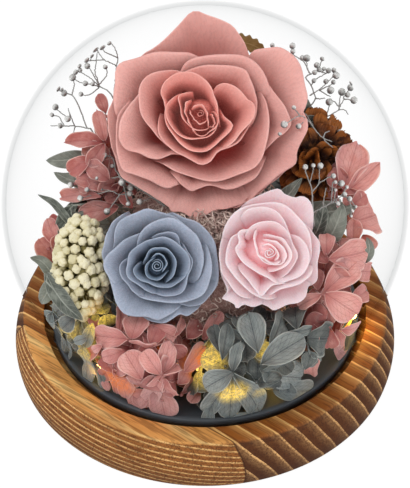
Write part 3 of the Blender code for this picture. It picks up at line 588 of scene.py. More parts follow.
blueRose = {
    "piece": "blue_grey_rose", "slot": "blue_petal", "nodes": "blue_rose",
    "top": (-22.6, -28.8, 38), "axis": (0, 0, 1), "radius": 29.5, "columns": 28, "rows": 14, "seed": 5,
    "finish": "blue grey petal", "look": {
        "deep": tone(24, 36, 54), "inner": tone(138, 158, 180), "body": tone(182, 190, 208),
        "rim": tone(214, 222, 234), "sheen": (0.80, 0.88, 1.0, 1), "mottle": 0.22, "glow": 0.12, "heartGlow": 0.03,
        "through": 0.12, "gaps": 0.95},
    "petals": [
        (-8, 3, 25, 1.2, 80, [(-22.3, 5.2), (-20.9, 10), (-20.7, 15.1), (-18.8, 19.8), (-14, 23.5), (-9.3, 25.7),
            (-5, 26.9), (0.6, 25.5), (6.5, 23.7), (10.8, 21.4), (14.7, 18.2), (17.1, 15.1)]),
        (-9, 3, 25, 1, 80, [(2.9, 23.7), (6.8, 24.9), (12.4, 22.6), (18.3, 21), (23.4, 17), (27, 11.9), (28.5, 5.2),
            (29.1, -2.7), (28.1, -9.8), (24.2, -14.5), (19.5, -16.9)]),
        (-10, 3, 25, 1, 80, [(-14.1, 25.7), (-19.3, 22.5), (-22.8, 18.2), (-25.2, 12.3), (-26.4, 6), (-25.6, 1.2),
            (-24, -2.7)]),
        (-3, 4, 30, 1.2, 100, [(-10.3, 6.2), (-9.9, 9.3), (-9.5, 12), (-7.9, 15.6), (-4.8, 18.7), (-0.1, 21.4),
            (5.4, 22.5), (10.5, 21), (14.8, 17.9), (19.1, 13.6), (21.4, 8.5), (22, 3), (20.7, -4.4), (18.3, -7.6),
            (15.2, -9.5)]),
        (-5, 4, 28, 1.4, 100, [(-4.9, 16.3), (-8.8, 15.1), (-13.9, 13.2), (-18, 10.2), (-22.1, 6.7), (-24.9, 3),
            (-25.4, 0.2), (-24.1, -3.7), (-21, -8.4), (-17, -11.2)]),
        (-6, 4, 25, 1.6, 100, [(-25.3, 1.3), (-24.2, -3.8), (-21, -11.6), (-19.4, -17.9), (-15.5, -23), (-10, -24.6),
            (-4.9, -24.4), (0.2, -26.2), (4.5, -24.2), (9.6, -21.1), (12.8, -17.9)]),
        (-3, 4, 35, 1.2, 90, [(21.8, 10.9), (24.2, 8.5), (25.9, 1.5), (25.4, -5.6), (22.6, -12.2), (18.3, -15.4),
            (12.4, -17.3), (6.6, -17.6), (0.7, -17.2), (-5.6, -15.8), (-9.9, -13.8), (-13, -10.3)]),
        (-8, 3, 25, 0.8, 80, [(8.4, -18.4), (12.4, -18.8), (16.3, -19.6), (21.4, -18), (25.4, -14.1), (27.9, -9.8),
            (28.5, -5)]),
        (-9, 3, 25, 0.8, 80, [(-8.2, -24), (-5.8, -25.6), (-1.8, -27.2), (2.9, -27.8), (7.2, -25.4), (10.8, -23.2),
            (14.3, -24), (18.7, -21.6), (21.4, -18.5)]),
        (-2, 3, 45, 0.7, 80, [(-11.8, 3.8), (-14.5, 3.1), (-17.1, 1.1), (-17.9, -2), (-17.1, -5.2), (-13.7, -9.1),
            (-11, -12.6), (-8.3, -14.2), (-4.8, -14.2)]),
        (1, 3, 50, 0.7, 80, [(0, 12.5), (-3.1, 12.7), (-7, 10.7), (-10.9, 8.2), (-13.2, 5.5), (-14, 1.6),
            (-14.6, -2.7), (-13.2, -5.8), (-9.7, -8.5), (-5.4, -11.6), (-1.1, -13.1), (2.4, -13.2)]),
        (1, 3, 50, 0.7, 80, [(-8.2, 8.6), (-7, 10.7), (-3.1, 12.5), (0.8, 13.5), (3.9, 13.7), (7.8, 12.1),
            (10.5, 9.8), (14.4, 5.9), (15.6, 2.4), (15.2, -1.5), (13.3, -4.6), (10.2, -7.4)]),
        (0, 3, 45, 0.7, 80, [(10.9, 10.9), (12.5, 9.9), (14.4, 7), (16.8, 3.1), (16.4, -0.8), (14.8, -4.7),
            (14, -8.6), (12.5, -11.7), (9.8, -13.5), (4.7, -14.2), (0.8, -13.7), (-3.1, -12.1)]),
        (-1, 3, 45, 0.6, 80, [(-3.2, 13.2), (0.8, 15.2), (5.4, 16.1), (8.6, 15.2), (10.3, 12.9), (11.1, 9.7),
            (12.5, 6.2)]),
        (2, 2, 70, 0.5, 70, [(-6.9, 0.5), (-5.4, 3.8), (-4, 6.9), (-1.1, 8.6), (3.2, 8.8), (6.3, 7.3), (8.4, 4.4),
            (9.2, 0.5), (8.2, -3.4), (6.3, -6.5), (3.6, -8.5)]),
        (2, 2, 65, 0.6, 70, [(-8.1, 2), (-9.9, 0.3), (-11.2, -1.9), (-10.4, -4.6), (-7.7, -6.7), (-3.8, -8.1),
            (-1.1, -9.3), (2.4, -10.2), (6.7, -9.9), (10.6, -7.7), (13.3, -5), (14.5, -2.3)]),
        (1.5, 2, 78, 0.4, 60, [(-3.1, 3.2), (-1.1, 5.4), (1.2, 6.1), (3.4, 4.5), (4.5, 2.2), (4.3, -0.3),
            (2.4, -3.4)]),
        (1.5, 2, 75, 0.4, 60, [(-0.7, 4.3), (-4, 2.2), (-5.5, -0.7), (-5.2, -3.8), (-3.1, -6.2), (0, -6.8),
            (3.5, -4.8), (5.5, -2.3)]),
    ],
    "rolls": [(3.4, 2.4, 9, 0, 0.03, 0, 0)],
    "core": [(0.4, -3), (3.5, -4), (5.5, -9), (7, -18)], "coreTone": 0.12,
    "stemEnd": (-20, -18, -23),
}

pinkRose = {
    "piece": "pale_pink_rose", "slot": "pale_petal", "nodes": "pink_rose",
    "top": (29.5, -21.6, 38), "axis": (0.05, 0.05, 1), "radius": 29, "columns": 28, "rows": 14, "seed": 8,
    "finish": "pale pink petal", "look": {
        "deep": tone(236, 102, 112), "inner": tone(255, 234, 236), "body": tone(254, 230, 234),
        "rim": tone(255, 247, 248), "sheen": (1.0, 0.86, 0.88, 1), "mottle": 0.08, "glow": 0.16, "heartGlow": 0.1,
        "through": 0.3, "gaps": 0.4},
    "petals": [
        (-9, 3, 25, 0.6, 60, [(-13.9, 17.9), (-11.9, 20.7), (-7.9, 23.8), (-2.4, 26.6), (2.7, 28.6), (5.9, 29.3),
            (7.8, 27.2), (10.6, 25.8), (13.4, 25), (16.9, 25.8), (20.1, 23.8), (21.7, 19.9), (22.1, 14.3),
            (22.4, 8.8)]),
        (-8, 3, 28, 0.6, 60, [(15.7, 14.4), (18.4, 12), (22.4, 7.7), (24.9, 4.1), (25.5, -0.6), (24, -5.7),
            (24, -10.9), (23.2, -14.8), (19.2, -18.4)]),
        (-9, 3, 25, 0.6, 60, [(24, -10.9), (23, -14.9), (19.7, -17.6), (18.1, -22), (14.6, -25.1), (9.8, -26.3),
            (3.5, -28.9), (0.7, -26.9), (-4.8, -24.3), (-7.9, -22)]),
        (-4, 3, 35, 1, 90, [(-21, 2.6), (-21.2, 7.3), (-19.8, 12), (-16.7, 16.7), (-12.4, 20.1), (-6.5, 22),
            (0.5, 22.6), (5.6, 22.4), (10.3, 20.4), (14.3, 16.4), (18.2, 11.6), (20.5, 6.6), (21.1, 0.3),
            (20.7, -4.4), (19.4, -8.3)]),
        (-1, 3, 45, 0.7, 80, [(-14, 14.4), (-10.1, 19.1), (-3.5, 20.6), (1.2, 19.9), (5.5, 17.2), (8.4, 13.2),
            (10.2, 8.6), (11.8, 3.5), (14.5, -1.6), (14.1, -3.9), (11.4, -8.6), (8.2, -12.1), (3.6, -14.1)]),
        (-2, 3, 40, 1, 90, [(8.3, 6.6), (11.4, 7.5), (15.3, 5.8), (18.5, 2.3), (19.8, -2.4), (19.6, -6.7),
            (17.3, -10.6), (13.4, -13.4), (8.3, -15), (2.8, -15.9), (-1.9, -15.3)]),
        (-3, 3, 40, 1.2, 90, [(-11.2, 10.1), (-14.4, 7.9), (-17.1, 6.6), (-18.5, 3.4), (-19.5, -1.7), (-19.7, -6.3),
            (-17.1, -10.3), (-14, -14.6), (-9.7, -18.7), (-5, -21.4), (0.1, -23.6), (5.2, -23.2)]),
        (-6, 3, 35, 0.8, 80, [(-20.2, 8.9), (-21.6, 5.3), (-22.8, 0.2), (-22.6, -5.3), (-21.8, -10.4), (-18.2, -15.9),
            (-13.9, -21), (-9.6, -22.7), (-4.9, -23.4)]),
        (-8, 3, 25, 0.6, 60, [(-23.3, -6.1), (-22.9, -9.3), (-21, -14), (-19, -19.9), (-21.4, -23.1), (-15.8, -25.3),
            (-14.3, -27.8), (-11.1, -25.8), (-6.4, -27), (-1.7, -25.5), (2.3, -24.3)]),
        (1, 3, 55, 0.8, 80, [(-6.7, 11.3), (-9.8, 10), (-12.5, 9.8), (-14.3, 7.8), (-13.5, 3.9), (-15.4, 1.2),
            (-14.3, -2.3), (-11.7, -5.6), (-7.4, -8.9), (-3.5, -11.3), (0.4, -13.2), (3.9, -15.2), (7.4, -14.8)]),
        (-1, 3, 45, 0.8, 80, [(-14, -6.7), (-12.8, -9.8), (-9.3, -14.5), (-5, -19.2), (-3.7, -21.3), (-1.7, -20.5),
            (2.4, -16.8), (5.5, -15.8), (10.2, -15.3)]),
        (0, 3, 55, 0.6, 80, [(-11.3, 5.9), (-9.4, 9.6), (-6.6, 12.3), (-2, 14), (2.7, 13.7), (7, 11.3), (10.5, 7.4),
            (11.7, 2.7), (11.1, -1.6)]),
        (-3, 3, 35, 0.8, 80, [(-1.8, -20.1), (1.3, -20.8), (6.4, -18.5), (12.3, -16.9), (17, -15), (20.5, -11.4),
            (21.7, -6.7)]),
        (2, 2, 68, 0.6, 70, [(-5.1, 10.6), (-6.4, 8.6), (-6.7, 5.5), (-5.6, 1.2), (-4.7, -2.3), (-2, -4.4),
            (1.1, -6.2), (4.2, -6.8), (6.9, -6.6), (9.3, -4.2)]),
        (2, 2, 65, 0.6, 70, [(-2, 7.8), (1.9, 7.5), (6.5, 5.9), (9.6, 2.8), (11.3, -1.1), (10.8, -5), (7.3, -8.1),
            (4.2, -9.7), (0.3, -10.1)]),
        (1.5, 1.5, 74, 0.4, 60, [(-6.2, 5), (-6.2, 2.2), (-5.3, -0.7), (-3.9, -3.5), (-1.5, -5.6), (1.3, -6.5),
            (4.1, -6.1), (6.5, -4.4)]),
        (0.5, 2, 60, 1, 80, [(-2.4, 5.4), (0.4, 5.4), (3.7, 4.5), (6.5, 2.6), (8.4, 0.3), (8.9, -2.6), (7.9, -5.4),
            (6, -7.3)]),
        (1.8, 1.2, 80, 0.4, 60, [(-2.5, 2.2), (-0.6, 3.3), (1.8, 2.9), (3.6, 1.2), (5, -1.1), (5, -3.5),
            (3.6, -4.9)]),
    ],
    "rolls": [(1.9, 1.3, 8, 1.6, 0.14, 0.9, -0.9), (3.6, 1.2, 8, 1, 0.1, 0.7, -1)],
    "core": [(0.4, -1.5), (3.4, -2.5), (5.5, -6), (8, -10), (12, -14), (14, -20)], "coreTone": 0.4,
    "stemEnd": (24, -12, -23),
}


petalForm = {
    "thick": 0.45, "lipRows": 5, "roll": 0.58,          # the rolled rim
    "endsFrom": 0.80, "endsDip": 1.5, "endsShare": 0.22,  # where and how far a petal's two ends tuck in
    "low": -0.95,                                        # the petals' foot, in shares of the rose's radius
    "foot": 0.10, "footSize": 1.5, "belly": 0.55, "bellyHeight": 0.10, "reach": 0.36, "reachSize": 3.0,
    "narrow": 0.45,                                      # the foot's width against the rim's
    "wave": 0.010, "ruffle": 0.8,
}


def onAxis(axis, r, z, theta):  # points round a flower whose axis leans as it rises
    return np.stack([r * np.cos(theta) + z * axis[0], r * np.sin(theta) + z * axis[1], z], -1)


def rosePetal(rose, row, rng):
    lift, drop, flare, lip, turn, rim = row
    form, cols, rows = petalForm, rose["columns"], rose["rows"]
    line = throughPoints(rim, cols)
    s = np.linspace(-1, 1, cols)
    axis = np.array(rose["axis"], float) / rose["axis"][2]
    size = np.hypot(line[:, 0], line[:, 1]).mean()
    ends = np.clip((np.abs(s) - form["endsFrom"]) / (1 - form["endsFrom"]), 0, 1) ** 2
    height = lift - drop * np.abs(s) ** 3 - (form["endsDip"] + form["endsShare"] * size) * ends
    flat = line - height[:, None] * axis[:2]
    radius = np.hypot(flat[:, 0], flat[:, 1])
    angle = np.unwrap(np.arctan2(flat[:, 1], flat[:, 0]))
    if angle[-1] < angle[0]:
        radius, angle, height = radius[::-1], angle[::-1], height[::-1]

    # from the foot up to the rim, one curve for each column
    flareAngle, turnAngle = math.radians(flare), math.radians(turn)
    roll = lip * form["roll"] * (1 - 0.55 * s**4)
    full = min(turnAngle, flareAngle + math.pi / 2)
    radius = np.maximum(radius - roll * (math.sin(flareAngle) - math.sin(flareAngle - full)), 0.5)
    low = form["low"] * rose["radius"]
    reach = form["reach"] * radius + form["reachSize"]
    t = np.linspace(0, 1, rows)[:, None]
    u = 1 - t
    corners = [(form["foot"] * radius + form["footSize"], np.full(cols, low)),
               (form["belly"] * radius, low + form["bellyHeight"] * (height - low)),
               (radius - reach * math.cos(flareAngle), height - reach * math.sin(flareAngle)),
               (radius, height)]
    weights = [u**3, 3 * u * u * t, 3 * u * t * t, t**3]
    r, z = (sum(w * corner[k] for w, corner in zip(weights, corners)) for k in (0, 1))
    middle = 0.5 * (angle[0] + angle[-1])
    spread = form["narrow"] + (1 - form["narrow"]) * np.clip(t * 1.8, 0, 1) ** 1.2
    theta = middle + (angle - middle) * spread

    # over the rolled rim
    phi = np.linspace(0, turnAngle, form["lipRows"] + 1)[1:, None]
    r = np.vstack([r, radius + roll * (math.sin(flareAngle) - np.sin(flareAngle - phi))])
    z = np.vstack([z, height + roll * (np.cos(flareAngle - phi) - math.cos(flareAngle))])
    theta = np.vstack([theta, np.repeat(angle[None], form["lipRows"], 0)])
    along = np.vstack([t * 0.86, 0.86 + 0.14 * phi / turnAngle])

    wave = np.zeros_like(r)
    for _ in range(4):
        wave += rng.uniform(0.2, 0.5) * np.sin(rng.uniform(2, 9) * s + rng.uniform(1, 5) * along + anyTurn(rng))
    ruffle = np.sin(rng.uniform(11, 16) * s + anyTurn(rng)) * rng.uniform(0.3, 1.0) * along ** 5
    soft = form["wave"] * rose["radius"] * (wave * np.clip(along * 1.3, 0, 1) ** 2 + form["ruffle"] * ruffle)
    grid = onAxis(axis, r + soft * 0.8, z + soft * 0.6, theta)
    points, faces, shades = sheetPart(grid, form["thick"], rng.uniform(), min(size / rose["radius"], 1.0))
    shades[:, 0] = np.tile(np.repeat(along.ravel(), cols), 2)
    return facing(points + np.array(rose["top"])), faces, shades


def roseScroll(rose, roll, rng):  # a tight roll of petals at the heart
    size, turns, deep, lift, oval, dx, dy = roll
    cols, rows, least, endsFrom = 64, 9, 0.6, 0.88
    s = np.linspace(0, 1, cols)
    theta = 2 * math.pi * turns * s
    radius = least + (size - least) * s ** 0.9
    radius = radius * (1 + oval * np.sin(2 * theta + 0.6) + 0.5 * oval * np.sin(3.3 * theta))
    v = np.linspace(0, 1, rows)[:, None]
    edge = lift - 1.2 * (1 - s) + (0.35 + 3 * oval) * np.sin(theta * 1.7 + 1)
    edge = edge - 3.0 * np.clip(s - endsFrom, 0, 1) / (1 - endsFrom)
    r = radius * (1.0 + 0.25 * (1 - v) ** 2 - 0.10 * v)
    grid = onAxis((0, 0), r, edge - deep * (1 - v), theta) + [dx, dy, 0]
    points, faces, shades = sheetPart(grid, 0.5, rng.uniform(), 0.05)
    shades[:, 0] = 0.35 + 0.65 * shades[:, 0]
    return facing(points + np.array(rose["top"])), faces, shades


def roseCore(rose, rng):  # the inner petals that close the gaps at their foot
    profile = throughPoints(rose["core"], 26)
    theta = np.linspace(0, 2 * math.pi, 61)[None]
    r, z = profile[:, 0][:, None], profile[:, 1][:, None]
    wave = 0.6 * np.sin(5 * theta + r * 0.5) + 0.4 * np.sin(8 * theta - r * 0.9)
    grid = onAxis(rose["axis"], r, z + wave * np.clip(r / 12, 0, 1), theta)
    points, faces, shades = sheetPart(grid, 0.6, rng.uniform(), 0.3)
    # coreTone puts the core low on the petal, so it takes the dark foot colour, partly painted shade, and the painted
    # glow
    shades[:, 0] = rose["coreTone"]
    return facing(points + np.array(rose["top"])), faces, shades


calyx = {"sepals": 5, "start": 0.3, "half": 0.10, "from": 0.05, "reach": 0.42, "sink": -0.02, "rise": 0.20,
         "hip": 0.13, "hipBack": 1.02, "neckBack": 1.25, "stem": 1.5,
         "dark": tone(86, 92, 60), "light": tone(120, 112, 78)}  # all but the stem in shares of the rose's radius


def roseBack(rose):  # the hip, its green sepals and the stem
    axis, top = unit(np.array(rose["axis"], float)), np.array(rose["top"], float)
    size = rose["radius"]
    centre = facing(top - axis * size * calyx["hipBack"])
    stem = [centre, facing(top - axis * size * calyx["neckBack"]), upright(rose["stemEnd"])]
    parts = [tubePart(throughPoints(stem, 14), calyx["stem"], 8),
             ballPart(centre, calyx["hip"] * size, 9, 14, along=facingWay(axis))]
    for k in range(calyx["sepals"]):
        angle = 2 * math.pi * k / calyx["sepals"] + calyx["start"]
        v = np.linspace(0, 1, 12)[:, None]
        u = np.linspace(-1, 1, 5)[None]
        half = calyx["half"] * size * np.sin(math.pi * (0.12 + 0.88 * v) ** 0.8) ** 0.8 * (1 - v) ** 0.35
        reach = size * (calyx["from"] + calyx["reach"] * v)
        rise = size * (calyx["sink"] + calyx["rise"] * v**1.4) - np.abs(u) * half * 0.3
        x = reach * math.cos(angle) - u * half * math.sin(angle)
        y = reach * math.sin(angle) + u * half * math.cos(angle)
        parts.append(sheetPart(np.stack([x, y, rise], -1) @ frameFor(facingWay(axis)) + centre, 0.5))
    return parts


gapSearch = {"reach": 0.55, "start": 0.5, "smooth": 2,  # reach in shares of the rose's radius
             "rings": [(15, 3), (38, 5), (62, 6)]}      # tilt from the axis in degrees, and lines in that ring


def markGaps(rose, parts):  # the tone of each point becomes how open it lies, so that shade can be painted into the gaps
    points, faces, shades = gather(parts)
    tree = BVHTree.FromPolygons(points.tolist(), [face for group in faces for face in group.tolist()])
    turned = frameFor(facingWay(unit(np.array(rose["axis"], float))))
    reach = gapSearch["reach"] * rose["radius"]
    free = np.zeros(len(points))
    for degrees, count in gapSearch["rings"]:
        tilt = math.radians(degrees)
        for k in range(count):
            spin = 2 * math.pi * (k + 0.3) / count + tilt
            way = tilted(tilt, spin) @ turned
            heading = Vector(way)
            for n, start in enumerate((points + way * gapSearch["start"]).tolist()):
                met, _, _, distance = tree.ray_cast(start, heading, reach)
                free[n] += 1.0 if met is None else distance / reach
    free /= sum(count for _, count in gapSearch["rings"])
    for _ in range(gapSearch["smooth"]):
        total, count = np.zeros(len(points)), np.zeros(len(points))
        for group in faces:
            for corner in group.T:
                np.add.at(total, corner, free[group].mean(axis=1))
                np.add.at(count, corner, 1)
        free = total / count
    start = 0
    for points, faces, shades in parts:
        shades[:, 2] = free[start:start + len(points)]
        start += len(points)


def petalFinish(name, settings):
    deep, inner = settings["deep"], settings["inner"]
    look = Finish(name, {"Sheen Weight": 0.12, "Sheen Roughness": 0.4, "Sheen Tint": settings["sheen"], "IOR": 1.4,
                         "Specular IOR Level": 0.15, "Emission Strength": 1.0, "Subsurface Scale": 0.002,
                         "Subsurface Weight": settings["through"], "Subsurface Radius": (1.0, 0.5, 0.4)})
    along, across, openness, side = look.shades()
    # hidden: darker towards each petal's foot, partly the petal's own deeper colour there and partly painted shade
    # under the petals in front
    hidden = along.fall(0.20, 0.68) * side.fade(0.12, 0.45, 0.8, 1.0)
    cloud, specks = look.noise(70, 4, 0.6), look.noise(1500, 2, 0.6)
    veins = look.node("ShaderNodeTexWave", {"wave_type": "BANDS", "bands_direction": "X"}, {
        "Vector": look.node("ShaderNodeCombineXYZ", {}, {0: across, 1: along * 0.35, 2: openness}),
        "Scale": 9.0, "Distortion": 9.0, "Detail": 3.0, "Detail Scale": 2.0, "Detail Roughness": 0.6}, out="Fac")
    look.paint("Base Color", look.coats(
        look.blend(side.fade(0.15, 0.65), inner, settings["body"]),
        (hidden * 0.5, deep),
        # painted shade in the gaps, where markGaps found a point shut in by other petals
        (openness.fall(0.12, 0.60, settings["gaps"]), deep),
        # painted highlight along each petal's rolled rim
        (along.fade(0.91, 0.99) * 0.48, settings["rim"]),
        (cloud.fade(0.35, 0.75) * settings["mottle"], deep),
        (veins.fade(0.6, 1.0) * 0.08, deep),
        (specks.fade(0.42, 0.66) * 0.30, inner)))
    # painted light: the petals' lower parts and hearts glow, standing in for light that comes through the petals from
    # behind
    shine = look.blend(along.fall(0.1, 0.75), tone(0, 0, 0), tuple(part * settings["glow"] for part in deep))
    heartShine = tuple(part * settings["heartGlow"] for part in inner)
    look.paint("Emission Color", look.blend(side.fall(0.08, 0.55), shine, heartShine))
    look.paint("Roughness", 0.62 + cloud * 0.2)
    look.bump(look.noise(2600, 2, 0.6) * 0.5 + veins * 0.35 + look.noise(420, 3, 0.6) * 0.9, 0.00035, 0.55)
    return look


def buildRoses():
    backs = []
    for rose in (dustyRose, blueRose, pinkRose):
        rng = np.random.default_rng(rose["seed"])
        parts = [rosePetal(rose, row, rng) for row in rose["petals"]]
        parts += [roseScroll(rose, roll, rng) for roll in rose["rolls"]]
        parts.append(roseCore(rose, rng))
        markGaps(rose, parts)
        makePiece(rose["piece"], parts, petalFinish(rose["finish"], rose["look"]), rose["slot"],
                  [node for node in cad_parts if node.startswith(rose["nodes"])])
        backs += roseBack(rose)
    green = Finish("dried green", {"Roughness": 0.7})
    patch = green.noise(300, 3, 0.6)
    green.paint("Base Color", green.blend(patch, calyx["dark"], calyx["light"]))
    green.bump(patch, 0.0004, 0.6)
    makePiece("rose_stems", backs, green, "grey_leaf")


buildRoses()
print("roses built")


# The small flowers. Their places are measured in the leaning frame: across, up and out from the globe's centre.

viewDistance = 800
moundOutline = [  # where the loose florets stop, as seen by the viewer the flowers face
    (-52, 52), (-53, 43), (-57, 36), (-64, 32), (-61, 26), (-65, 20), (-66, 12), (-70, 7), (-65, 2), (-70, -5),
    (-71, -10), (-76, -14), (-78, -20), (-79, -28), (-77, -35), (-77, -47), (-75, -52), (-76, -62), (-73, -71),
    (-68, -74), (-63, -81), (-59, -86), (-56, -80), (-50, -87), (-41, -91), (-35, -94), (-33, -99), (-23, -103),
    (-14, -96), (-7, -96), (-4, -104), (0, -106), (9, -106), (23, -104), (28, -96), (37, -98), (47, -95), (46, -86),
    (56, -80), (58, -73), (64, -72), (69, -72), (68, -66), (73, -59), (69, -55), (73, -46), (75, -32), (76, -22),
    (73, -15), (77, -10), (72, 0), (69, 5), (76, 12), (78, 20), (72, 27), (67, 39), (58, 47), (47, 66), (42, 74),
    (-2, 91)]


def insideOutline(part):
    points = part[0]
    flat = points[:, :2] * (viewDistance / (viewDistance - points[:, 2:]))
    corners = np.array(moundOutline, float)
    after = np.roll(corners, -1, axis=0)
    x, y = flat[:, :1], flat[:, 1:]
    spans = (corners[:, 1] > y) != (after[:, 1] > y)
    slope = (after[:, 0] - corners[:, 0]) / (after[:, 1] - corners[:, 1] + 1e-9)
    crossing = corners[:, 0] + (y - corners[:, 1]) * slope
    return ((spans & (x < crossing)).sum(axis=1) % 2 == 1).all()


lampSpots = [  # painted lamp light, a warm glow painted into the thin petals round each spot: across, up, out, reach, strength
    (-48.7, -55.4, 20, 14, 1.0), (-42, -84, 16, 14, 0.9), (-2, -79, 18, 13, 0.7), (4.2, -74, 20, 11, 1.0),
    (13.8, -92.6, 30, 12, 1.0), (29.3, -70, 26, 8, 0.8), (28.6, -94, 24, 8, 0.8), (-66.7, -62, 14, 9, 0.5),
    (-56.9, -71, 14, 9, 0.5)]


# painted light: a warm glow painted as emission round each of the lampSpots; the amount is returned so the base colour
# can be tinted under it
def lampLight(look, shade, lines, strength, spots=lampSpots):
    total = 0.0
    for across, up, out, reach, share in spots:
        centre = tuple(facing((across, up, out)) * mm)
        gap = look.node("ShaderNodeVectorMath", {"operation": "DISTANCE"}, {0: look.place(), 1: centre}, out="Value")
        total = gap.fall(reach * 0.3 * mm, reach * mm, share) + total
    patchy = look.noise(700, 4, 0.7).fade(0.44, 0.58, 0.45, 1.0)
    amount = total.atMost(1.0) * patchy * (1 - lines * 0.85)
    look.paint("Emission Strength", strength)
    look.paint("Emission Color", look.blend(amount, tone(0, 0, 0), shade))
    return amount


# Hydrangea heads. The sepals that can be told apart are placed one by one: base, tip, width, roll in
# degrees, cup, tone and, where it isn't the usual one, bluntness. Behind and round them each head fills up
# with florets.


